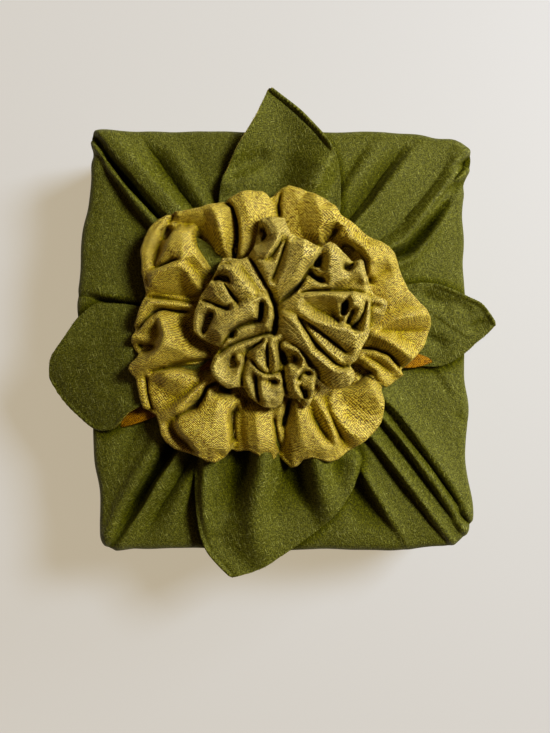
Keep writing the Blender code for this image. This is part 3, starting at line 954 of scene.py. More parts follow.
def threadTree(material):
    tree = bpy.data.node_groups.new("threads along an edge", "GeometryNodeTree")
    kinds = {"Edge": "Geometry", "Spacing": "Float", "Length": "Float", "Thickness": "Float"}
    kinds.update({"Lean": "Float", "Seed": "Int"})
    for name, kind in kinds.items():
        tree.interface.new_socket(name, in_out="INPUT", socket_type="NodeSocket" + kind)
    tree.interface.new_socket("Threads", in_out="OUTPUT", socket_type="NodeSocketGeometry")
    given = addNode(tree, "NodeGroupInput").outputs
    path = addNode(tree, "GeometryNodeMeshToCurve", {"Mesh": given["Edge"]})
    sockets = {"Curve": path, "Length": given["Spacing"]}
    points = addNode(tree, "GeometryNodeResampleCurve", sockets, mode="LENGTH")
    sockets = {"Vertices": 6, "Radius": 0.5, "Depth": 1.0}
    thread = addNode(tree, "GeometryNodeMeshCylinder", sockets)
    aim = addNode(tree, "GeometryNodeInputNamedAttribute", {"Name": "aim"}, data_type="FLOAT_VECTOR")
    aligned = addNode(tree, "FunctionNodeAlignRotationToVector", {"Vector": aim}, axis="Z")
    sockets = {0: given["Lean"], 1: -1.0}
    backLean = addNode(tree, "ShaderNodeMath", sockets, operation="MULTIPLY")
    sockets = {"Min": backLean, "Max": given["Lean"], "Seed": given["Seed"]}
    lean = addNode(tree, "FunctionNodeRandomValue", sockets, data_type="FLOAT_VECTOR")
    sockets = {"Rotation": aligned, "Rotate By": lean}
    leaning = addNode(tree, "FunctionNodeRotateRotation", sockets, rotation_space="LOCAL")
    sockets = {2: 0.45, 3: 1.3, "Seed": given["Seed"]}
    share = addNode(tree, "FunctionNodeRandomValue", sockets, data_type="FLOAT")
    sockets = {0: share, 1: given["Length"]}
    length = addNode(tree, "ShaderNodeMath", sockets, operation="MULTIPLY")
    sockets = {"X": given["Thickness"], "Y": given["Thickness"], "Z": length}
    size = addNode(tree, "ShaderNodeCombineXYZ", sockets)
    sockets = {"Points": points, "Instance": thread, "Rotation": leaning, "Scale": size}
    placed = addNode(tree, "GeometryNodeInstanceOnPoints", sockets)
    real = addNode(tree, "GeometryNodeRealizeInstances", {"Geometry": placed})
    coloured = addNode(tree, "GeometryNodeSetMaterial", {"Geometry": real, "Material": material})
    addNode(tree, "NodeGroupOutput", {"Threads": coloured})
    return tree


def edgeLine(grid, column, look):
    # a line along one long edge of a leaf, and the columns of the leaf counted from that edge
    ordered = grid if column == 0 else grid[::-1]
    inward, points = look["inward"], []
    for j in range(firstRow, grid.shape[1] - 4):
        across = np.linalg.norm(ordered[:, j] - ordered[0, j], axis=1) / mm
        if across[-1] < 2 * inward + 1:
            break
        x, y, z = (np.interp(inward, across, ordered[:, j, k]) for k in range(3))
        points.append((x, y, z + look["lift"] * mm))
    return np.array(points), ordered


def layThreads(name, lines, look, tree):
    # lines: (points, aims) pairs
    mesh = bpy.data.meshes.new(name)
    edges, start = [], 0
    for line, _ in lines:
        edges += [(start + i, start + i + 1) for i in range(len(line) - 1)]
        start += len(line)
    mesh.from_pydata([tuple(point) for line, _ in lines for point in line], edges, [])
    aims = np.vstack([aim for _, aim in lines])
    attribute = mesh.attributes.new("aim", "FLOAT_VECTOR", "POINT")
    attribute.data.foreach_set("vector", aims.astype(np.float32).ravel())
    source = inScene(name + "Path", mesh)
    modifier = source.modifiers.new("threads", "NODES")
    modifier.node_group = tree
    sizes = {key.capitalize(): look[key] * mm for key in ("spacing", "length", "thickness")}
    sizes.update(Lean=look["lean"], Seed=look["seed"])
    for socket in tree.interface.items_tree:
        if socket.name in sizes:
            modifier[socket.identifier] = sizes[socket.name]
    bpy.context.view_layer.update()
    graph = bpy.context.evaluated_depsgraph_get()
    made = bpy.data.meshes.new_from_object(source.evaluated_get(graph))
    made.name = name
    bpy.data.objects.remove(source)
    return inScene(name, made)


stitchLines, frayLines = [], []
for leafName, leafSpec in leaves.items():
    hemColumn, rawColumn = edgeColumns(leafSpec)
    line, _ = edgeLine(leafGrids[leafName], hemColumn, hemStitches)
    stitchLines.append((line, np.gradient(line, axis=0) / mm))
    line, ordered = edgeLine(leafGrids[leafName], rawColumn, frayedThreads)
    outward = (ordered[0] - ordered[3])[firstRow : firstRow + len(line)]
    frayLines.append((line, outward / mm))
threads = threadTree(sewingThread)
stitches = layThreads("hemStitches", stitchLines, hemStitches, threads)
frays = layThreads("frayedThreads", frayLines, frayedThreads, threads)
print("threads", len(stitches.data.polygons), len(frays.data.polygons))

# each ruffle is one gathered cloth. Its folds are lines that it runs over: ridges stand
# high, creases lie low. Every point is (right, back, height) in mm from the knot's axis,
# and the first line of each table is the rim
outerFolds = {
    "rim": (
        (-26, 57.5, 95), (-20.5, 60, 96), (-16.5, 62, 96), (-11.5, 63, 97), (-5, 63, 96),
        (-2.5, 61.5, 94), (-1, 59.5, 91), (4.5, 65, 92), (9, 66.5, 94), (14.5, 65, 94), (21, 62, 94),
        (28, 58.5, 94), (33, 54.5, 94), (36, 50, 94), (40.5, 47.5, 94), (46, 43.5, 94), (49.5, 40, 94),
        (54, 37.5, 95), (60.5, 33.5, 96), (63.5, 30, 96), (65.5, 24.5, 96), (68, 18, 96),
        (71.5, 11, 96), (76, 6, 96), (80.5, 1.5, 95), (83, -3, 95), (83.5, -7, 93), (82.5, -11, 92),
        (81, -15.5, 93), (79.5, -19, 94), (76.5, -22.5, 94), (72, -27, 93), (68, -30.5, 91),
        (69.5, -33.5, 92), (67, -35, 92), (62, -38.5, 92), (57, -41, 92), (55.5, -36.5, 93),
        (57.5, -42, 95), (58.5, -47, 95), (58.5, -52.5, 94), (57.5, -57.5, 94), (54, -62.5, 95),
        (49, -67.5, 95), (43.5, -71, 94), (38, -74.5, 94), (34.5, -77.5, 94), (30, -78.5, 95),
        (26, -78, 95), (21, -76.5, 95), (16.5, -77.5, 94), (13, -81, 93), (10, -82, 93), (7.5, -80, 92),
        (4.5, -77, 91), (3, -73.5, 88), (2, -77, 92), (-1, -78.5, 93), (-4, -78, 93), (-8, -74.5, 92),
        (-11.5, -72.5, 93), (-15, -73, 92), (-19, -73.5, 91), (-21.5, -71.5, 90), (-22, -73, 95),
        (-24.5, -76.5, 96), (-29.5, -79, 97), (-34, -78, 96), (-38, -75.5, 94), (-41.5, -75, 91),
        (-45.5, -74, 91), (-51, -72, 91), (-56, -68.5, 91), (-58.5, -64.5, 92), (-59.5, -58.5, 92),
        (-61.5, -54, 91), (-64, -52.5, 90), (-67.5, -50.5, 89), (-70, -45, 89), (-71, -40, 89),
        (-72, -34.5, 88), (-74, -32, 90), (-75.5, -29.5, 92), (-75, -27, 92), (-71.5, -24, 91),
        (-70.5, -22, 89), (-72.5, -19.5, 90), (-74, -16, 91), (-73.5, -13, 91), (-72, -11, 90),
        (-72.5, -7, 91), (-70, 0, 92), (-68.5, 4.5, 91), (-67, 7.5, 89), (-66, 11, 91), (-68.5, 21, 92),
        (-69, 32, 93), (-67.5, 38.5, 93), (-63.5, 45, 93), (-59.5, 48.5, 93), (-55.5, 51, 93),
        (-51, 52.5, 93), (-46, 53, 94), (-37.5, 54, 95), (-31, 56, 96),
    ),
    "panel b": ((-35.5, 51.5, 98), (-33, 44.5, 96), (-30.5, 37.5, 94), (-29.5, 31.5, 92.5)),
    "tube top left": (
        (-62.5, 12, 93.5), (-65, 21.5, 94.5), (-65, 32, 95), (-62.5, 38.5, 95.5), (-57.5, 44.5, 96),
        (-52.5, 49, 96),
    ),
    "hollow top left": (
        (-60, 26, 91), (-59, 32.5, 91), (-58, 36.5, 91), (-56, 42, 88), (-55, 45, 89), (-52, 48.5, 93),
    ),
    "pit top left": ((-56, 39.5, 87), (-54, 43, 88)),
    "lip top left": ((-53, 45, 95), (-52, 41.5, 95)),
    "crown b left": ((-48.5, 50.5, 97), (-42.5, 51.5, 98), (-35, 52.5, 100)),
    "crease a b": ((-50, 52, 95), (-52.5, 49, 93), (-54.5, 46, 91)),
    "panel b left": ((-48, 46.5, 94.5), (-45, 45, 92.5)),
    "hollow b": ((-41.5, 46.5, 94), (-38.5, 43.5, 91), (-36.5, 39, 89), (-34.5, 34.5, 88)),
    "crown b": ((-30.5, 53, 101.5), (-28, 46, 103), (-26, 39, 102.5), (-24, 32, 99.5)),
    "fall b": ((-22, 54.5, 98), (-20, 47.5, 95.5), (-19.5, 40, 93.5), (-21, 32, 91)),
    "crease b": (
        (-24.5, 57, 94), (-20.5, 54, 90), (-18.5, 47.5, 87), (-18, 38.5, 86), (-19.5, 29.5, 86),
    ),
    "lip c0": (
        (-21, 57, 98), (-17.5, 52, 101), (-16, 45.5, 101.5), (-15.5, 36.5, 100), (-16.5, 28.5, 97),
    ),
    "crown c0": ((-15, 59.5, 100), (-13, 53.5, 102.5), (-11.5, 48.5, 102.5), (-12, 43.5, 101)),
    "step c0": ((-11, 41, 97.5), (-11, 36, 96), (-11.5, 29, 93)),
    "fall c0": ((-5, 60.5, 98), (-3, 55.5, 97.5), (-1, 50.5, 96)),
    "edge c0": ((-2, 60, 95.5), (0.5, 54.5, 95), (2, 49.5, 93)),
    "back lobe": ((0, 58, 91.5), (2, 55, 91), (3, 51, 91)),
    "crease c": ((4.5, 62, 91.5), (3.5, 56, 91), (4, 50, 91)),
    "edge c": ((6.5, 63.5, 93.5), (5, 55.5, 93.5), (6, 49, 93.5)),
    "petal c": ((12.5, 61, 95.5), (14.5, 55, 95.5), (14.5, 46.5, 94.5), (17, 39.5, 93.5)),
    "petal c2": ((22.5, 57.5, 99.5), (25, 51, 101.5), (25.5, 43.5, 101.5), (24, 37.5, 100.5)),
    "petal c3": ((31, 51, 101.5), (34, 45.5, 102.5), (39, 42.5, 101.5)),
    "fold c": ((14.5, 37.5, 93), (22.5, 37.5, 93.5), (28, 39, 93)),
    "crease c d": ((33.5, 42, 91), (31, 38.5, 90), (28.5, 35, 88)),
    "ring d": (
        (33.5, 40, 98), (39, 38, 101), (43.5, 35.5, 102), (47.5, 31, 103), (50, 26, 103),
        (50, 20.5, 102), (48.5, 14.5, 100.5),
    ),
    "ring d in": (
        (36, 37, 95), (40, 36, 96), (43.5, 33.5, 97), (46, 29, 97), (47, 24, 97), (47.5, 18.5, 97),
    ),
    "bowl d": (
        (37.5, 36.5, 90), (41.5, 34, 86), (45.5, 31.5, 85), (48.5, 26.5, 86), (49.5, 20, 88),
        (49.5, 14.5, 92),
    ),
    "bowl d floor": ((42, 28.5, 88), (38.5, 32, 88), (33.5, 34.5, 90)),
    "outside d": ((55.5, 33.5, 100), (59.5, 28, 101), (61.5, 23, 100.5)),
    "dip d e": ((54, 18, 97), (58.5, 20.5, 96.5), (64, 23, 97)),
    "crown e1": ((53, 12, 98), (58, 15, 99.5), (64, 17.5, 99.5)),
    "panel e": ((61, 6, 98), (69, 8, 98.5), (73, 6.5, 98)),
    "dip e1": ((61.5, -0.5, 96.5), (67.5, 2, 96.5), (74, 1.5, 97)),
    "ridge e1": ((57, -8, 98), (63, -5, 100.5), (70, -3, 101), (77, -1.5, 99.5), (81, -1.5, 97)),
    "valley e1": ((56, -10.5, 95), (62.5, -9.5, 93), (69.5, -9, 91.5), (76.5, -9.5, 91), (81, -9, 92)),
    "floor e1": ((67, -13.5, 92), (73.5, -16.5, 92), (77.5, -15.5, 92)),
    "ridge e2": ((51, -11, 99), (56, -13, 101), (61, -16, 102), (66, -19.5, 101.5), (70.5, -23, 99.5)),
    "valley e2": (
        (48, -16.5, 93), (54.5, -18.5, 91.5), (60.5, -21.5, 90), (65.5, -25.5, 89), (68, -29, 89),
    ),
    "crease e f": (
        (46.5, -19, 87), (54, -19.5, 87), (61.5, -22.5, 87), (66, -27.5, 87), (68, -30.5, 88),
    ),
    "ridge f1": ((46.5, -21, 95), (53, -21.5, 97.5), (59, -24, 98), (64, -28.5, 97), (67.5, -32.5, 95)),
    "valley f": ((49, -23.5, 92), (55, -25.5, 91), (60, -29.5, 92), (63, -32.5, 93)),
    "ridge f2": ((44.5, -22.5, 94), (49, -26.5, 97), (53.5, -30.5, 97.5), (57.5, -35, 96)),
    "edge f": ((51, -29.5, 92), (53.5, -33.5, 92), (56.5, -38.5, 92)),
    "hole g": ((40, -38, 84), (43.5, -34.5, 82), (48, -32.5, 82), (52.5, -31.5, 84)),
    "hole g2": ((43, -30, 83), (46.5, -28.5, 84)),
    "edge g": ((31.5, -40, 93), (38, -41, 94.5), (43, -39, 96), (47, -37, 97), (51.5, -33.5, 96)),
    "crown g1": (
        (40.5, -43, 96.5), (46.5, -42, 98.5), (51.5, -39.5, 99.5), (54.5, -44, 99.5), (56.5, -49, 98),
    ),
    "valley g1": (
        (34.5, -46, 95), (40.5, -49.5, 95), (47, -51.5, 95.5), (53, -53.5, 96), (57, -54, 96),
    ),
    "floor g1": ((39.5, -54.5, 95), (47, -57, 95.5), (53, -58.5, 96)),
    "ridge g1": (
        (30.5, -46.5, 96), (31.5, -52, 98), (35, -57, 99.5), (39, -62, 100), (44.5, -65, 99),
        (49, -65, 97),
    ),
    "valley g2": (
        (27.5, -45, 93), (29.5, -52.5, 92), (32.5, -59.5, 91), (35.5, -65, 91), (39.5, -70, 92),
    ),
    "ridge g2": (
        (22, -45, 97), (26, -50, 99.5), (29.5, -56, 101), (32, -62.5, 101), (33, -68.5, 100),
        (32.5, -74.5, 97),
    ),
    "valley g3": ((20.5, -49.5, 94), (22, -55.5, 92), (25, -61, 92), (28.5, -65, 93), (31, -67, 97)),
    "ridge g3": (
        (15.5, -50, 98), (18, -56, 100.5), (21, -62, 102), (25.5, -68, 101.5), (28, -73.5, 99),
    ),
    "crown h": ((12.5, -47, 98), (14, -56, 101), (15.5, -65.5, 102), (17.5, -72.5, 99)),
    "edge h": ((10, -49, 94), (10.5, -59, 97), (10.5, -67.5, 98), (11.5, -75, 96)),
    "dark h": ((7.5, -51.5, 90), (7, -61, 91.5), (7, -69.5, 92), (8.5, -76.5, 92)),
    "slit h": ((8.5, -47.5, 85), (8, -52.5, 86), (6, -59, 87)),
    "roll h i": ((7, -47, 99), (4.5, -53, 98.5), (3.5, -59.5, 97), (4, -67, 94)),
    "crease h i": ((1, -56, 88), (2, -62, 86), (3, -70.5, 86)),
    "crown i": ((-8, -52, 98), (-7.5, -58, 100.5), (-7, -65.5, 101.5), (-7, -71.5, 99)),
    "edge i": ((0, -52, 96), (1, -58.5, 97), (2, -65.5, 97.5), (2, -72, 95.5)),
    "fold i": ((-13, -53.5, 95), (-13, -61.5, 97), (-12, -68.5, 97.5)),
    "dip i": ((-15.5, -52.5, 92), (-15, -61.5, 93.5), (-14, -70, 94)),
    "left i": ((-18, -54.5, 91.5), (-18, -63, 92.5), (-16.5, -70.5, 93)),
    "crease i": ((-21.5, -51.5, 86), (-21, -59, 86), (-20.5, -66.5, 86)),
    "shade i": ((-19, -49.5, 89), (-19, -59, 90), (-18.5, -69, 91)),
    "crown j": ((-27, -45.5, 102), (-28.5, -52, 103), (-30.5, -60, 103.5), (-31, -69.5, 102)),
    "edge j right": (
        (-18, -46, 98), (-22, -50.5, 100.5), (-23.5, -56, 102.5), (-22.5, -64, 103), (-23, -71.5, 101),
    ),
    "edge j left": (
        (-32.5, -40.5, 99), (-34.5, -47, 100), (-37, -52, 100.5), (-41.5, -55, 100.5),
        (-47.5, -55.5, 99),
    ),
    "corner j": ((-48.5, -57.5, 99.5), (-45, -62.5, 101.5), (-41, -67, 101.5), (-37.5, -72.5, 100)),
    "panel j": ((-41, -59, 102), (-37, -64, 103)),
    "hole j": ((-27, -41, 89), (-25, -41.5, 86), (-22.5, -40.5, 89)),
    "round hole j": (
        (-30, -40, 96), (-28, -43.5, 98), (-24, -45, 98), (-19.5, -43.5, 96), (-17.5, -41.5, 93),
    ),
    "crease j": (
        (-29.5, -37, 88), (-34, -39.5, 87), (-36, -44.5, 87), (-39.5, -49.5, 89), (-44.5, -52, 90),
        (-50.5, -55, 89),
    ),
    "panel k": ((-40, -46.5, 91), (-44, -49.5, 92)),
    "roll k": (
        (-28, -33.5, 98), (-34, -37, 101), (-39, -41, 102), (-44, -46.5, 102.5), (-49, -51, 101.5),
        (-54, -54.5, 98),
    ),
    "valley k": ((-33.5, -34.5, 93), (-40.5, -40, 93), (-47, -44.5, 93.5), (-51, -48.5, 94)),
    "crown k": ((-54.5, -33.5, 100), (-49.5, -35.5, 99.5), (-44.5, -38.5, 98)),
    "crown k left": ((-62, -36.5, 93), (-62.5, -43, 92.5), (-60, -48, 93), (-57, -51.5, 93.5)),
    "panel k2": ((-55.5, -40, 94.5), (-53.5, -44.5, 92.5)),
    "crease l k": (
        (-63, -31, 91), (-57.5, -30, 87), (-49.5, -29, 86), (-40.5, -28.5, 85), (-32, -25.5, 84),
    ),
    "deep l k": ((-44.5, -30.5, 86), (-38, -31.5, 86), (-32.5, -29.5, 85)),
    "edge k": (
        (-63.5, -33.5, 93), (-59, -31.5, 97), (-51.5, -31, 100), (-45.5, -32.5, 100), (-39.5, -35, 97),
    ),
    "crease k3": ((-66, -34.5, 89), (-65.5, -42, 90), (-64, -48.5, 89), (-62.5, -52.5, 88)),
    "strip k3": ((-69.5, -34.5, 91), (-68, -42, 93), (-65.5, -48, 92)),
    "outer k2": (
        (-59, -54.5, 94), (-57.5, -59.5, 94.5), (-54.5, -65.5, 94.5), (-50, -70, 93.5),
        (-44.5, -72.5, 92),
    ),
    "valley k2": (
        (-52.5, -56, 92), (-53, -61, 90), (-50.5, -65.5, 88.5), (-45, -69, 89), (-41, -72.5, 90),
    ),
    "ridge l": (
        (-59, -1, 99), (-56.5, -5.5, 102.5), (-54.5, -11.5, 104), (-55.5, -17.5, 104),
        (-59.5, -22, 102.5), (-64.5, -26.5, 100), (-69.5, -28, 98), (-72.5, -29.5, 96),
    ),
    "ridge l2": ((-50, -14, 103), (-48, -19.5, 102), (-43.5, -22.5, 99), (-35.5, -22, 94)),
    "fall l": ((-49.5, -0.5, 91), (-46, -7.5, 90), (-42, -13.5, 90.5), (-36, -18, 90)),
    "dark l": ((-43, -1, 90), (-41.5, -7.5, 90)),
    "bottom l": (
        (-67.5, -30.5, 95), (-58, -27.5, 97), (-47.5, -25.5, 96), (-37.5, -24, 93), (-30.5, -22.5, 90),
    ),
    "crease l2": ((-53.5, -27.5, 90), (-43, -26, 89), (-31, -24.5, 87)),
    "roll m": ((-71, -13.5, 95.5), (-66.5, -8.5, 98), (-62, -4.5, 99.5), (-57.5, -2, 99.5)),
    "panel m": ((-69, -11.5, 94), (-63.5, -8.5, 94)),
    "fall m": ((-61.5, -7, 94.5), (-61, -11.5, 93), (-63.5, -16, 92)),
    "wall m": ((-59.5, -6.5, 95), (-59, -12, 94), (-61.5, -17.5, 93), (-65.5, -21, 92)),
    "edge m": ((-71, -16, 92.5), (-66, -17, 92), (-61, -18.5, 92)),
    "pit m": ((-70.5, -17, 86), (-67, -19, 84), (-63.5, -18.5, 86)),
    "rim m": ((-72.5, -16.5, 93), (-70.5, -20, 93), (-68.5, -22, 92)),
    "ridge o": (
        (-69, -5.5, 95), (-67, 0, 97), (-63.5, 4.5, 98), (-57, 4.5, 98.5), (-48.5, 4, 97.5),
        (-40.5, 2.5, 95),
    ),
    "fall o": ((-65.5, -0.5, 94), (-61.5, 2, 94), (-55, 2.5, 94), (-47, 1.5, 92)),
    "crease o": (
        (-71, -10.5, 89), (-66.5, -4.5, 88), (-62, -0.5, 88), (-57, 1.5, 89), (-49.5, 0.5, 90),
        (-42, 0.5, 89),
    ),
    "crease n o": ((-65, 8, 90), (-58, 7, 90), (-49.5, 6, 90), (-40.5, 4.5, 88)),
    "ridge n": (
        (-63, 12.5, 97), (-62, 17, 100), (-58, 20.5, 102), (-51.5, 22.5, 103), (-47, 24.5, 103.5),
    ),
    "body n": ((-60, 14, 97), (-54, 15, 97), (-46.5, 15.5, 96)),
    "low n": ((-60.5, 10, 92), (-52.5, 9.5, 91), (-44, 8.5, 89)),
    "ridge n2": ((-47, 24.5, 102.5), (-43, 20, 103), (-39.5, 15, 101), (-37, 11, 97)),
    "fall n2": ((-41.5, 23, 98), (-37.5, 17.5, 96), (-35, 13.5, 94)),
    "crease p": ((-60.5, 23, 92), (-56.5, 24.5, 92), (-52, 26, 95), (-48, 26.5, 99)),
    "left p": ((-59.5, 24.5, 97), (-55.5, 28.5, 100), (-53, 33.5, 102), (-51, 39, 102)),
    "crown p": ((-46.5, 40, 102.5), (-45.5, 33.5, 103.5), (-45.5, 28, 103.5)),
    "right p": ((-42, 40.5, 101.5), (-41, 34.5, 102), (-38.5, 28, 101), (-34.5, 22.5, 99)),
    "fall p": ((-40.5, 40.5, 93), (-39.5, 34, 91), (-35, 28.5, 90), (-30.5, 22, 91)),
    "green floor": ((-40, 39.5, 87), (-36.5, 34.5, 86), (-32, 30, 86), (-27.5, 26.5, 86)),
    "green floor2": ((-31.5, 24.5, 88), (-27.5, 22.5, 88)),
    "inside left": ((-35, 19, 92), (-38, 6.5, 90), (-39.5, -4, 90), (-35, -17.5, 89)),
    "inside top": ((-24.5, 23, 89), (-14, 26.5, 90), (-5, 26, 91)),
    "inside right": ((38.5, 11.5, 91), (47, 6, 92), (50.5, -1.5, 92), (47, -9.5, 91)),
    "inside low": ((-22, -43.5, 89), (-9, -46, 90), (1.5, -45, 90), (14.5, -43.5, 91)),
    "eye": (
        (-17, 6.5, 90), (-5, 11.5, 91), (14.5, 10.5, 91), (30.5, 1, 91), (25, -17.5, 90),
        (9.5, -28, 89), (-11.5, -25, 89), (-19.5, -9.5, 90), (-17, 6.5, 90),
    ),
}
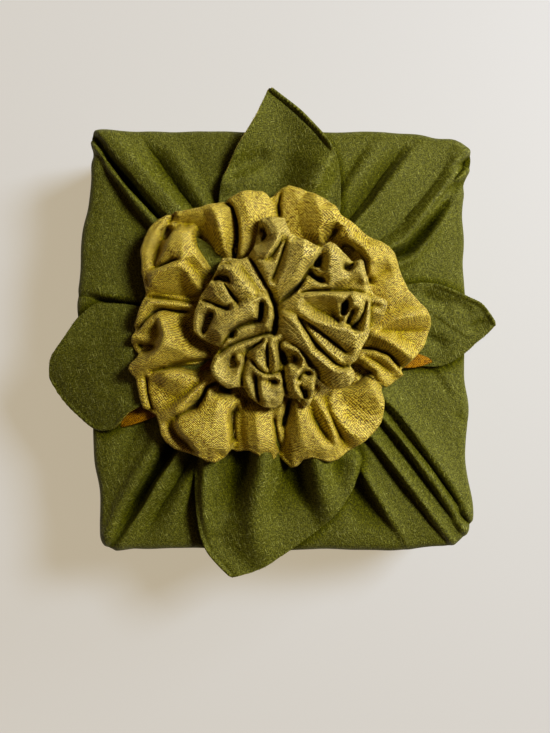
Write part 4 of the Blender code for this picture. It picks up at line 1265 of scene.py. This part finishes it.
innerFolds = {
    "rim": (
        (-6.5, 47, 104), (-3, 47.5, 105), (2, 47.5, 106), (6.5, 47, 106), (7.5, 43, 107),
        (9.5, 39, 107), (14.5, 36.5, 107), (20.5, 34, 107), (25, 31.5, 107), (29.5, 35.5, 105),
        (33.5, 33.5, 104), (36.5, 30, 103), (41, 25.5, 101), (43.5, 25.5, 100), (45, 27, 103),
        (46.5, 24, 104), (48, 18.5, 103), (50.5, 11.5, 103), (53, 8, 103), (59.5, 5, 102),
        (58.5, -0.5, 101), (56.5, -5, 100), (53.5, -8, 99), (50.5, -10, 99), (48.5, -15, 103),
        (45.5, -20, 104), (43, -25.5, 105), (40, -28, 104), (42, -31, 104), (42, -35.5, 103),
        (39.5, -38.5, 103), (35, -40, 103), (30, -40, 102), (26, -37.5, 101), (23, -34.5, 98),
        (22, -38.5, 103), (21, -44.5, 104), (19, -49.5, 104), (15.5, -48.5, 102), (12.5, -45, 101),
        (9.5, -45, 98), (6, -43.5, 104), (5, -47.5, 105), (1, -50.5, 105), (-4, -49.5, 105),
        (-7.5, -47.5, 104), (-11.5, -44, 103), (-14.5, -39.5, 103), (-17.5, -39.5, 104),
        (-22.5, -40, 104), (-27, -37, 104), (-30.5, -33, 104), (-31.5, -28.5, 104), (-30, -24, 103),
        (-27, -19, 102), (-29.5, -17.5, 104), (-37, -14, 103), (-40, -11, 104), (-40.5, -6, 104),
        (-39.5, 0.5, 104), (-37.5, 5.5, 103), (-37.5, 7, 103), (-33, 12, 105), (-30.5, 17.5, 105),
        (-28, 20.5, 105), (-27, 24.5, 102), (-25.5, 27.5, 102), (-22.5, 27, 103), (-16.5, 26.5, 104),
        (-13, 27.5, 104), (-11.5, 29, 103), (-9, 33, 103), (-8, 38.5, 101), (-7, 43, 102),
    ),
    "band edge": ((-22, 14.5, 112.5), (-18.5, 9.5, 114), (-15, 4.5, 112.5)),
    "band top": (
        (-30.5, 18, 109), (-27, 20, 112), (-23, 21, 114), (-19.5, 19, 115), (-15.5, 15, 116),
        (-11, 9.5, 116), (-8, 6, 113),
    ),
    "slit": ((-30, 16, 106), (-26.5, 17, 104), (-22.5, 15.5, 104), (-21, 14, 106)),
    "band face": ((-20, 15.5, 114), (-16, 10, 115.5), (-12.5, 6, 114)),
    "crease lb": ((-24.5, 13.5, 108), (-21.5, 9.5, 105), (-18, 4.5, 103)),
    "facet lb": ((-25.5, 13, 112.5), (-23, 9, 113), (-19.5, 4, 111.5)),
    "facet mid": ((-30, 12, 111), (-28, 7.5, 111.5), (-24, 3.5, 111.5)),
    "edge lb": ((-32.5, 11.5, 107), (-35, 8.5, 105)),
    "crease lc": ((-36.5, 5.5, 103), (-31, 4, 105), (-26.5, 2, 105), (-22.5, 0.5, 104)),
    "upper lc": ((-35, 3, 108), (-32, 1.5, 110), (-28.5, -0.5, 111), (-25, -1, 111)),
    "wall lc": ((-37, 0, 108), (-38, -6, 109), (-38, -10.5, 108), (-35.5, -13, 107)),
    "pit": ((-30.5, -2, 101), (-32.5, -5, 98), (-34, -9, 100), (-35.5, -11, 103)),
    "loop low": ((-33.5, -12, 107), (-31, -10.5, 110), (-29, -6, 112)),
    "band d": ((-28, -4.5, 114), (-22, -2.5, 116), (-16, 0, 117), (-10, 3.5, 118), (-5, 5, 118)),
    "band d face": ((-26.5, -10.5, 113.5), (-22, -7, 115), (-16, -4, 116), (-9, -1, 117)),
    "band d low": ((-25.5, -14, 111), (-22, -10, 113.5), (-17, -7, 114.5), (-8.5, -4, 115)),
    "crease ld": (
        (-25, -16.5, 103), (-21.5, -11, 103), (-16.5, -7.5, 103), (-11, -5.5, 103), (-6.5, -5, 104),
    ),
    "tail ld": ((-29.5, -12, 108), (-28.5, -16.5, 106)),
    "mouth": ((-5, 4, 107), (-5.5, 0.5, 104), (-6, -4, 104)),
    "loop e": ((-3, 5, 116), (-1, 1.5, 117), (-1, -3.5, 117), (-2.5, -8, 115), (-7, -9, 112)),
    "loop e in": ((-7.5, 4, 114), (-7, 0, 112), (-7, -3.5, 110)),
    "roll f": (
        (-8, -9.5, 111), (-13, -9.5, 111), (-17, -11.5, 110.5), (-21, -15, 109), (-24.5, -18.5, 107),
    ),
    "roll f low": ((-3, -10, 110), (-10, -12, 109), (-16, -14, 108), (-21.5, -17, 106)),
    "pit f": ((-19.5, -12, 104), (-21, -13.5, 103)),
    "crease f": (
        (1, -11, 102), (-5, -12, 103), (-11, -14, 102), (-17.5, -16, 102), (-23, -18.5, 101),
        (-27.5, -22, 100),
    ),
    "strip g": (
        (-1, -12.5, 107), (-7, -15, 109), (-13, -17.5, 109), (-19, -20, 109), (-24.5, -23.5, 108),
    ),
    "crease g": ((-5, -15.5, 104), (-9.5, -18.5, 100), (-12.5, -20, 98)),
    "ring h": (
        (-27, -24.5, 108), (-29.5, -28.5, 109), (-28.5, -33, 109), (-24, -37, 109), (-19.5, -38, 109),
        (-17, -34.5, 109), (-16, -30.5, 109), (-15, -26.5, 108), (-18, -24.5, 107),
    ),
    "ring h in": ((-25.5, -28.5, 106), (-23.5, -31.5, 106), (-20.5, -30.5, 106)),
    "pit h": ((-21.5, -26, 99), (-20, -24, 98), (-19.5, -27.5, 98), (-21, -29, 100)),
    "under g": ((-23.5, -25, 105), (-19.5, -23, 104), (-14.5, -21, 104)),
    "crease h k": ((-13, -24, 102), (-15, -28.5, 101), (-16, -33.5, 101), (-15.5, -38.5, 100)),
    "lobe k": ((-13, -31.5, 106), (-12.5, -36.5, 107), (-10, -41.5, 107), (-7.5, -45, 106)),
    "crease k": ((-8, -33.5, 101), (-8, -38.5, 100), (-7.5, -43, 100), (-6.5, -46, 101)),
    "knee k": ((-11, -26.5, 107), (-9.5, -30.5, 108)),
    "tongue": ((-5, -37.5, 109), (-5, -42.5, 110), (-3, -46.5, 109)),
    "tongue right": ((4, -37.5, 111), (4.5, -41.5, 110), (3, -46, 108)),
    "tongue top": ((-5, -36, 108), (-1, -35, 104), (2.5, -36, 101)),
    "tongue face": ((-0.5, -40, 109), (-0.5, -44.5, 109)),
    "roll scroll": (
        (-9, -28.5, 108), (-7, -31.5, 110), (-3, -34, 111), (1.5, -33.5, 111.5), (4.5, -35.5, 112),
    ),
    "crease scroll": (
        (-10, -25.5, 104), (-7.5, -29.5, 104), (-4, -32, 104), (0, -32.5, 103), (3.5, -31, 101),
    ),
    "panel s1": ((-10, -21.5, 109), (-7.5, -20.5, 112), (-5, -18.5, 113), (-3, -17, 113)),
    "panel s1 face": ((-8, -25.5, 110), (-5, -28.5, 111), (-3, -31, 109)),
    "crease s": ((-2.5, -17, 108), (-2, -23.5, 106), (-2, -28.5, 104)),
    "panel s2": ((-0.5, -17, 113), (1, -20.5, 114), (2, -25.5, 113), (1.5, -29.5, 110)),
    "panel s2 face": ((-1, -21.5, 110), (-0.5, -26.5, 110)),
    "shade s": ((-4, -21.5, 109), (-3.5, -27.5, 108)),
    "crease s3": ((4, -17.5, 103), (4, -21, 101), (3.5, -27.5, 101)),
    "top s": ((-1, -14, 110), (2, -14, 111)),
    "pit b": ((5, -21, 97), (6, -24, 95), (7, -27.5, 98)),
    "roll b": (
        (5.5, -18.5, 111), (10, -19.5, 113), (14, -21.5, 114), (16.5, -25, 114), (15, -29, 113),
        (12.5, -33, 113), (11.5, -37, 112), (12.5, -41, 111), (16, -45, 109), (18, -47.5, 107),
    ),
    "cup b": ((8.5, -21.5, 107), (12, -23, 103), (13.5, -25.5, 102), (10, -27, 104)),
    "cup b face": ((7.5, -20, 109), (10.5, -21, 108)),
    "side b": ((7.5, -30, 108), (7, -34.5, 108), (7.5, -39.5, 106)),
    "ridge b2": ((9, -28.5, 111), (9.5, -33.5, 111), (8.5, -38.5, 108)),
    "crease b": ((6.5, -29.5, 101), (6, -34.5, 100), (7, -40.5, 99)),
    "crease tube": ((16, -31, 105), (13.5, -34.5, 104), (12, -35.5, 104)),
    "tube b": (
        (17.5, -29, 109), (20.5, -31, 110), (21, -35.5, 111), (20.5, -40.5, 110), (19.5, -45, 108),
    ),
    "tube b face": ((16, -34, 109), (15, -37, 109), (16.5, -39.5, 108)),
    "slit tube": ((16.5, -40.5, 101), (17, -44, 100), (16, -45.5, 102)),
    "crease tube2": ((14.5, -38.5, 103), (16, -42.5, 102)),
    "nick": ((17.5, -32, 104), (20, -32.5, 104)),
    "hollow b": ((21, -28.5, 101), (24, -31.5, 100), (25, -35.5, 99)),
    "roll s": (
        (4.5, -6, 111), (6.5, -10.5, 112.5), (10, -14.5, 113.5), (15, -18, 114), (20.5, -22, 114.5),
        (26, -26.5, 114), (31, -30.5, 113),
    ),
    "roll s head": (
        (5.5, -2, 112.5), (9, -4, 115.5), (12.5, -8, 117), (15, -12.5, 117), (18.5, -18, 116),
    ),
    "roll s low": ((4, -11, 110), (8, -15.5, 110), (13.5, -19, 108), (17.5, -23.5, 106)),
    "end s": (
        (33, -31, 113), (37.5, -31.5, 113), (39.5, -34, 112.5), (38.5, -37, 111), (34.5, -38.5, 109),
        (30.5, -38.5, 107),
    ),
    "hem s": ((40.5, -30.5, 110), (41, -34.5, 109)),
    "face s": ((27.5, -31, 108), (29.5, -35, 108)),
    "shade s2": ((20.5, -26.5, 105), (23.5, -30.5, 103.5), (26.5, -35.5, 103.5)),
    "crease s b": ((14.5, -20.5, 104), (18, -26, 101), (19.5, -28.5, 100)),
    "crease r s": (
        (13.5, -4, 108), (17, -9.5, 104), (21.5, -16, 103), (27, -21.5, 103), (32, -26.5, 103),
        (36, -29, 103),
    ),
    "panel r3": ((15.5, -6, 110), (19.5, -11, 112), (24.5, -17, 113), (30, -22, 112), (34.5, -26, 110)),
    "panel r3b": ((18, -8, 111), (24.5, -13.5, 111), (30.5, -19, 109), (36, -24.5, 109)),
    "crease r2": (
        (15.5, -4.5, 108), (20.5, -8, 106), (26.5, -12.5, 105), (32, -16.5, 104), (37.5, -21, 105),
    ),
    "ridge r1": (
        (12, 3.5, 113), (14.5, -1.5, 115), (19.5, -5, 116.5), (26, -7.5, 117), (32.5, -9.5, 117),
        (38.5, -10.5, 116.5), (41.5, -13, 115.5),
    ),
    "face r1": ((17, -5, 113), (24, -10, 113), (31, -13.5, 113), (37.5, -17, 112.5)),
    "knee r1": ((42, -16.5, 114), (42, -21, 112), (40, -25, 110), (37, -27, 108)),
    "hollow r": ((18.5, 3.5, 109), (23, 0, 105), (28.5, -2.5, 104), (34, -5, 103)),
    "hollow r2": ((23.5, 5, 110), (29.5, 2, 108), (33, -1, 106)),
    "ridge r0": ((14, 5.5, 113), (18, 7, 114.5), (24, 7.5, 115), (30.5, 7.5, 115.5), (35, 6.5, 115.5)),
    "wrap r": ((33, 4.5, 114), (34, 0.5, 112), (35, -3.5, 110)),
    "slot": ((38.5, 5.5, 100), (38, 2, 98), (36.5, -1.5, 99)),
    "loop r": (
        (36.5, 6, 116), (39, 5.5, 117), (40, 2.5, 117), (39, -1.5, 116), (36.5, -5.5, 114),
        (35.5, -6, 112),
    ),
    "sliver": ((41, -0.5, 106), (39.5, -4, 104), (38.5, -6, 104)),
    "rim r": ((42, 8.5, 114), (45, 6, 115), (44.5, 1.5, 115), (42.5, -2.5, 114), (40.5, -4.5, 111)),
    "crease rim": ((48, 4.5, 107), (47, -1, 106), (45, -5, 103), (43, -7, 100), (41, -9, 99)),
    "rim right": (
        (48.5, 5, 112), (48.5, -2.5, 112), (47.5, -9, 112), (45.5, -15, 111), (43.5, -20, 110),
    ),
    "ear": ((52, 5, 107), (55, 4.5, 108), (58, 2.5, 107)),
    "ear fold": ((51, 3.5, 104), (55.5, 3, 104), (59, 4, 104)),
    "ear face": ((52.5, -0.5, 106), (55, -1, 106)),
    "ear back": ((50, 6.5, 105), (50, 0.5, 104), (50, -6, 102)),
    "neck r": ((7, 2, 110), (10.5, 0.5, 112), (12.5, -2.5, 112)),
    "wrinkle r": ((6, -0.5, 109), (9.5, -1.5, 111)),
    "band t r": (
        (14.5, 11, 108), (17.5, 15.5, 110), (20.5, 14, 111), (24, 11.5, 112), (29, 12.5, 112),
        (32.5, 14.5, 112), (37, 16.5, 112),
    ),
    "band t r low": ((6, 4, 108), (10, 6.5, 110), (15, 9.5, 110), (20.5, 10.5, 109), (25.5, 10, 108)),
    "crease t r0": ((4, 4, 102), (8.5, 7, 103), (13, 11, 103), (16.5, 15, 103)),
    "crescent": ((19.5, 20.5, 100), (22, 18, 98), (24.5, 16, 98), (26.5, 15.5, 102)),
    "roll t r": ((19.5, 21.5, 108), (22.5, 19.5, 109.5), (25.5, 18.5, 110), (28.5, 16.5, 110.5)),
    "hole t r": ((22.5, 25, 98), (24, 24, 97), (24.5, 26.5, 99)),
    "crown t r": ((27, 30, 112), (29, 31, 113), (29.5, 26, 114), (28.5, 21, 113), (29.5, 16.5, 112)),
    "crown t r2": ((32, 28, 113), (34.5, 23.5, 113), (35, 19.5, 112)),
    "wall t r": ((25.5, 29, 108), (25, 24.5, 106), (25.5, 21.5, 106)),
    "tip t r": ((36.5, 27, 108), (39.5, 24, 107)),
    "hole t r2": ((38, 22, 98), (39.5, 21, 98), (41.5, 22.5, 100)),
    "peak": ((37, 17, 111), (40.5, 20, 112), (44, 24, 112), (45, 20, 111), (47, 14.5, 110)),
    "panel peak": ((39.5, 15, 108), (44, 15, 107), (47.5, 11, 108)),
    "panel peak2": ((32, 12, 107), (38, 12, 106), (44, 10.5, 107)),
    "crease peak": ((14.5, 9, 106), (22.5, 10, 105), (31.5, 10, 105), (40, 10, 105), (47, 9, 106)),
    "stem t": ((0, 45, 111), (3.5, 39, 114), (2.5, 34, 115), (-0.5, 29.5, 115), (-3, 26.5, 114)),
    "right stem": ((6, 44.5, 109), (7.5, 39, 111), (9.5, 36.5, 111)),
    "left stem": ((-5, 45.5, 108), (-2.5, 43, 110), (-0.5, 39, 112), (-0.5, 35.5, 110)),
    "fold t": ((-6.5, 37, 105), (-4.5, 34.5, 106)),
    "crease t1": ((5, 35, 108), (2.5, 31, 107), (-0.5, 27.5, 106), (-3, 26, 107)),
    "rib t": ((6, 34, 112), (4.5, 29, 113), (2.5, 23.5, 113), (0, 18, 112), (-1.5, 13, 110)),
    "crease t2": ((7, 34, 108), (5, 28.5, 107), (3, 23, 107), (1, 18, 106), (-0.5, 15, 106)),
    "panel t": ((9, 34.5, 113), (8.5, 27.5, 114.5), (7, 21, 114.5), (4.5, 16, 113), (2.5, 11, 110)),
    "panel t2": ((16, 32.5, 117), (15.5, 26.5, 118), (13, 21, 116.5), (9.5, 16, 114), (5.5, 10, 110)),
    "edge t": (
        (22, 29, 115.5), (21, 26, 115.5), (17.5, 23, 114), (15, 19, 113.5), (12.5, 14, 111.5),
        (8, 9.5, 108), (4, 6, 106),
    ),
    "crease t r": ((20, 22.5, 103), (17.5, 18.5, 102), (15, 14, 102), (10, 9.5, 101), (4.5, 5, 100)),
    "left t": ((-8.5, 30.5, 108), (-7, 26, 110), (-5, 21.5, 111), (-3, 16, 110), (-1.5, 11, 108)),
    "left t2": ((-4, 24, 112), (-2.5, 20, 112)),
    "crease t0": (
        (-11.5, 27, 103), (-9, 23.5, 102), (-6.5, 19.5, 102), (-4, 15.5, 101), (-1.5, 11, 100),
        (0, 7, 99),
    ),
    "panel u": (
        (-21.5, 24.5, 106), (-15.5, 24.5, 106), (-12.5, 25, 106), (-8.5, 18.5, 107.5),
        (-5, 11.5, 108.5), (-3, 8.5, 107),
    ),
    "panel u2": ((-15, 20.5, 106.5), (-10, 14, 108), (-7, 9.5, 109)),
    "crease u": ((-6.5, 42.5, 103), (-4, 41, 102), (-3, 38.5, 103), (-5, 36, 104)),
    "hem u": ((-25.5, 26.5, 105), (-24.5, 23.5, 105), (-22, 22.5, 107)),
    "eye": ((-0.5, 6, 97), (1, 2, 92), (2.5, -3, 92), (2, -8.5, 94), (1.5, -12, 98)),
    "eye right": ((4, 1, 106), (4.5, -4, 108)),
}
# the first word of a fold's name says when the cloth sinks into a small pit along it
pitWords = {"pit", "hole", "slot", "slit", "sliver", "crescent", "mouth", "nick"}
outerRuffleLook = {
    "spread": 92.0,  # half the side of the square that the folds are worked out on
    "step": 0.4,
    "round": 1.0,  # radius that the cloth keeps over a ridge
    "soften": 0.5,
    "relief": 1.3,  # how much the heights are drawn out from the middle height
    "middle": 95.0,
    "creaseLift": 2.0,
    "creaseDepth": 7.0,
    "creaseWidth": 0.64,
    "pitDepth": 8.0,
    "pitWidth": 2.1,
    "roll": 2.8,  # radius of the rim, where the cloth turns under
    "depth": 8.5,
    "lowest": 84.5,
    "columns": 660,
    "rows": 118,
    "neck": 14.0,
    "neckHeight": 79.5,
    "floor": 81.5,  # no hollow goes lower
    "hollowReach": 2.0,  # painted shade: a point is painted darker when it lies this much below the cloth around it
    "hollowDepth": 3.8,
    "wrinkle": 0.36,
    "bend": 5.0,  # how far the weave moves from fold to fold
    "bendSize": 30,
    "endDepth": 0.45,  # how deep a crease or pit is at its ends
    "rimShare": 0.62,  # how much of the roll lies inside the rim
    "underRows": 12,
    "seed": 11,
}
innerRuffleLook = {
    **outerRuffleLook,
    "spread": 60.0,
    "step": 0.3,
    "round": 0.75,
    "soften": 0.34,
    "relief": 1.28,
    "middle": 107.0,
    "creaseLift": 1.8,
    "creaseDepth": 6.5,
    "creaseWidth": 0.52,
    "pitDepth": 7.0,
    "pitWidth": 1.4,
    "roll": 2.0,
    "depth": 7.5,
    "lowest": 94.5,
    "columns": 620,
    "neck": 10.0,
    "neckHeight": 88.0,
    "floor": 89.5,
    "hollowReach": 1.7,
    "hollowDepth": 3.2,
    "wrinkle": 0.24,
    "seed": 21,
}


def roundedOver(grid, radius, step):
    # the surface that a ball leaves when it rolls under the cloth: round ridges, sharp creases
    reach = int(radius / step)
    wide = np.pad(grid, reach, mode="edge")
    result = np.full_like(grid, -1e9)
    across, along = grid.shape
    for i in range(-reach, reach + 1):
        for j in range(-reach, reach + 1):
            room = radius**2 - (i * step) ** 2 - (j * step) ** 2
            if room >= 0:
                part = wide[reach + i : reach + i + across, reach + j : reach + j + along]
                result = np.maximum(result, part + math.sqrt(room) - radius)
    return result


def foldPoints(lines, look):
    # points a millimetre apart along every line, the edges between them, and the points of
    # the creases and pits, each with how much of its full depth it has
    points, edges, creases, pits = [], [], [], []
    for name, line in lines.items():
        stations = list(line) + ([line[0]] if name == "rim" else [])
        first = len(points)
        for a, b in zip(stations, stations[1:]):
            count = max(1, int(math.dist(a[:2], b[:2])))
            points += [Vector(a).lerp(Vector(b), k / count) for k in range(count)]
        points.append(Vector(stations[-1]))
        edges += [(k, k + 1) for k in range(first, len(points) - 1)]
        kind = name.split()[0]
        if kind == "crease" or kind in pitWords:
            group, count = creases if kind == "crease" else pits, len(points) - first
            for k, point in enumerate(points[first:]):  # shallower towards both ends
                share = look["endDepth"] + 4 * min(k, count - 1 - k) / count
                group.append((point, min(1.0, share)))
    for point in points:
        point.z = look["middle"] + (point.z - look["middle"]) * look["relief"]
    for point, _ in creases:
        point.z += look["creaseLift"]
    return points, edges, creases, pits


def windowed(axis, low, high):
    return slice(*np.searchsorted(axis, (low, high)))


def stretchedOver(lines, look):
    # heights on a square grid, straight from line to line, with creases and pits sunk in
    points, edges, creases, pits = foldPoints(lines, look)
    flat, _, triangles, sources, _, _ = delaunay_2d_cdt(
        [p.to_2d() for p in points], edges, [], 0, 1e-4, True
    )
    height = []
    for place, source in zip(flat, sources):
        above = [points[k] for k in source]
        if not above:
            above = sorted(points, key=lambda p: (p.to_2d() - place).length)[:2]
        height.append(sum(p.z for p in above) / len(above))
    spread, step = look["spread"], look["step"]
    count = int(2 * spread / step) + 1
    grid = np.full((count, count), look["lowest"])
    axis = -spread + np.arange(count) * step
    for triangle in triangles:
        (ax, ay), (bx, by), (cx, cy) = [flat[k] for k in triangle]
        za, zb, zc = [height[k] for k in triangle]
        twice = (by - cy) * (ax - cx) + (cx - bx) * (ay - cy)
        if abs(twice) < 1e-9:
            continue
        spotsX = windowed(axis, min(ax, bx, cx), max(ax, bx, cx))
        spotsY = windowed(axis, min(ay, by, cy), max(ay, by, cy))
        x, y = np.meshgrid(axis[spotsX], axis[spotsY], indexing="ij")
        u = ((by - cy) * (x - cx) + (cx - bx) * (y - cy)) / twice
        v = ((cy - ay) * (x - cx) + (ax - cx) * (y - cy)) / twice
        w = 1 - u - v
        inside = (u >= -1e-9) & (v >= -1e-9) & (w >= -1e-9)
        grid[spotsX, spotsY][inside] = (u * za + v * zb + w * zc)[inside]
    grid = roundedOver(blurred(grid, look["soften"] / step), look["round"], step)
    sunk = np.zeros_like(grid)
    for kind, group in (("crease", creases), ("pit", pits)):
        depth, width = look[kind + "Depth"], look[kind + "Width"]
        for point, share in group:
            spotsX = windowed(axis, point.x - 3 * width, point.x + 3 * width)
            spotsY = windowed(axis, point.y - 3 * width, point.y + 3 * width)
            x, y = np.meshgrid(axis[spotsX] - point.x, axis[spotsY] - point.y, indexing="ij")
            part = sunk[spotsX, spotsY]
            np.maximum(part, depth * share * np.exp(-(x * x + y * y) / width**2), out=part)
    return blurred(np.maximum(grid - sunk, look["floor"]), 0.3 / step)


def rimReach(line, angles):
    # how far out the rim is at each angle
    ends = np.array([point[:2] for point in (*line, line[0])])
    shares = np.linspace(0, 1, 60)[:, None]
    dense = np.concatenate([a + (b - a) * shares for a, b in zip(ends, ends[1:])])
    bearing = np.degrees(np.arctan2(dense[:, 1], dense[:, 0])) % 360
    order = np.argsort(bearing)
    reach, bearing = np.hypot(*dense.T)[order], bearing[order]
    around = np.concatenate([bearing - 360, bearing, bearing + 360])
    return np.interp(angles, around, np.tile(reach, 3))


def sampled(grid, look, x, y):
    i = np.clip((x + look["spread"]) / look["step"], 0, grid.shape[0] - 1.001)
    j = np.clip((y + look["spread"]) / look["step"], 0, grid.shape[1] - 1.001)
    a, b = np.floor(i).astype(int), np.floor(j).astype(int)
    s, t = i - a, j - b
    near = grid[a, b] * (1 - s) * (1 - t) + grid[a + 1, b] * s * (1 - t)
    return near + grid[a, b + 1] * (1 - s) * t + grid[a + 1, b + 1] * s * t


# sizes in millimetres, heights as shares of the ruffle's own "wrinkle"
wrinkles = {
    "runOut": 0.35,  # under 1, so that a wrinkle is longer along its fold than across it
    "runRound": 40,
    "runUp": 0.3,
    "sizes": (3.5, 3.5, 12),
    "heights": (1.0, 0.25, 1.2),
}


def wrinkled(item, look):
    # small wrinkles that run with the folds, and the slight unevenness of the yarn
    points = item.data.vertices
    coords = readValues(points, "co", 3).astype(float)
    normals = readValues(points, "normal", 3)
    x, y, _ = (coords - knotAt).T
    bearing, distance = np.arctan2(y, x), np.hypot(x, y)
    spread = wrinkles["runRound"] * mm
    rise = np.cos(bearing) * spread + coords[:, 2] * wrinkles["runUp"]
    folded = np.stack([distance * wrinkles["runOut"], np.sin(bearing) * spread, rise], axis=1)
    height = 0
    for k, (size, share) in enumerate(zip(wrinkles["sizes"], wrinkles["heights"])):
        spots = coords if k else folded
        height = height + share * softNoise(spots, size * mm, look["seed"] + k)
    coords += normals * (height * look["wrinkle"] * mm)[:, None]
    points.foreach_set("co", coords.astype(np.float32).ravel())
    item.data.update()


def buildRuffle(name, lines, look, material):
    grid = stretchedOver(lines, look)
    angles = np.arange(look["columns"]) * 360 / look["columns"]
    cosA, sinA = np.cos(np.radians(angles)), np.sin(np.radians(angles))
    rim = rimReach(lines["rim"], angles)
    edge = rim - look["roll"] * look["rimShare"]
    # painted shade in the hollows between the folds, sampled with each row
    hollow = (blurred(grid, look["hollowReach"] / look["step"]) - grid) / look["hollowDepth"]
    rows, shade = [], []  # a row is (its distance from the axis, its height)
    for k in range(look["rows"]):
        radius = edge * (k + 0.5) / look["rows"]
        rows.append((radius, sampled(grid, look, radius * cosA, radius * sinA)))
        shade.append(sampled(hollow, look, radius * cosA, radius * sinA))
    # the rim turns under, and the hidden side runs in to the neck
    top = rows[-1][1]
    low = np.maximum(top - look["depth"], look["lowest"])
    half = (top - low) / 2
    for turn in np.radians(np.arange(15, 181, 15)):
        rows.append((edge + (rim - edge) * np.sin(turn), low + half + half * np.cos(turn)))
    for s in np.linspace(0, 1, look["underRows"])[1:]:
        height = low + (look["neckHeight"] - low) * ease(s)
        rows.append((edge + (look["neck"] - edge) * s, height))
    points = np.stack([np.stack([r * cosA, r * sinA, z], axis=1) for r, z in rows], axis=1)
    around, along, _ = points.shape
    flat = (points.reshape(-1, 3) + knotAt / mm) * mm
    bend = [softNoise(flat, look["bendSize"] * mm, look["seed"] + extra) for extra in (5, 6)]
    bend = np.stack(bend, axis=1)
    faces = gridFaces(around, along, closed=True)
    faces.append(tuple(k * along for k in range(around)))
    faces.append(tuple(k * along + along - 1 for k in range(around))[::-1])
    item = makeObject(name, flat, faces, bend, [material])
    shade += [np.zeros(around)] * (along - len(shade))
    givePaintedShade(item, np.stack(shade, axis=1))
    mesh = bmesh.new()
    mesh.from_mesh(item.data)
    bmesh.ops.triangulate(mesh, faces=[face for face in mesh.faces if len(face.verts) > 4])
    bmesh.ops.recalc_face_normals(mesh, faces=mesh.faces)
    mesh.to_mesh(item.data)
    mesh.free()
    wrinkled(item, look)
    layWeave(item, bend * look["bend"])
    return item


outerRuffle = buildRuffle("outerRuffle", outerFolds, outerRuffleLook, goldFace)
innerRuffle = buildRuffle("innerRuffle", innerFolds, innerRuffleLook, goldInner)
print("rosette", len(outerRuffle.data.polygons), len(innerRuffle.data.polygons))

floorSize = 3.0  # half its side, in metres
floorMesh = bpy.data.meshes.new("floorBoard")
corners = [(x * floorSize, y * floorSize, 0) for x, y in ((-1, -1), (1, -1), (1, 1), (-1, 1))]
floorMesh.from_pydata(corners, [], [(0, 1, 2, 3)])
floorMesh.materials.append(floorPaintedGlow("white acrylic"))
floorBoard = inScene("floorBoard", floorMesh)

# place in millimetres; the lens is its sensor's width times the reach
cameraAt = {"place": (1.89, -17.8, 620.0), "sensor": 36.0, "reach": 1009.0 / 733.0}
cameraData = bpy.data.cameras.new("overhead")
cameraData.sensor_width = cameraAt["sensor"]
cameraData.lens = cameraAt["sensor"] * cameraAt["reach"]
camera = inScene("overhead", cameraData)
camera.location = [part * mm for part in cameraAt["place"]]
camera.rotation_euler = (0, 0, 0)
bpy.context.scene.camera = camera

lightTarget = Vector((0, 0, 0.05))
# place, power in watts, side in metres, colour
lights = {
    "window": ((0.94, 0.52, 1.42), 26.5, 0.46, "#fdfdfc"),
    "low window": ((1.58, 0.66, 0.62), 10.5, 0.5, "#fdfdfc"),
    "warm wall": ((-1.3, -0.5, 0.8), 0.4, 1.6, "#ffd890"),
}
room = {"colour": "#ffcf90", "strength": 0.08}
for name, (place, power, side, tone) in lights.items():
    light = bpy.data.lights.new(name, "AREA")
    light.energy = power
    light.shape = "SQUARE"
    light.size = side
    light.color = hexColour(tone)[:3]
    item = inScene(name, light)
    item.location = place
    item.rotation_euler = (lightTarget - Vector(place)).to_track_quat("-Z", "Y").to_euler()
world = bpy.data.worlds.new("room")
world.use_nodes = True
background = world.node_tree.nodes["Background"]
background.inputs["Color"].default_value = hexColour(room["colour"])
background.inputs["Strength"].default_value = room["strength"]
bpy.context.scene.world = world
bpy.context.scene.view_settings.view_transform = "Standard"
bpy.context.scene.view_settings.look = "Medium High Contrast"

# the one square of cloth, region by region
clothPieces = [wrappedCloth, *leafObjects.values(), *tuckObjects.values(), outerRuffle, innerRuffle]
for item in (stitches, frays):
    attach(item, "root")
for item in clothPieces:
    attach(item, "root")
    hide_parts("furoshiki_cloth")
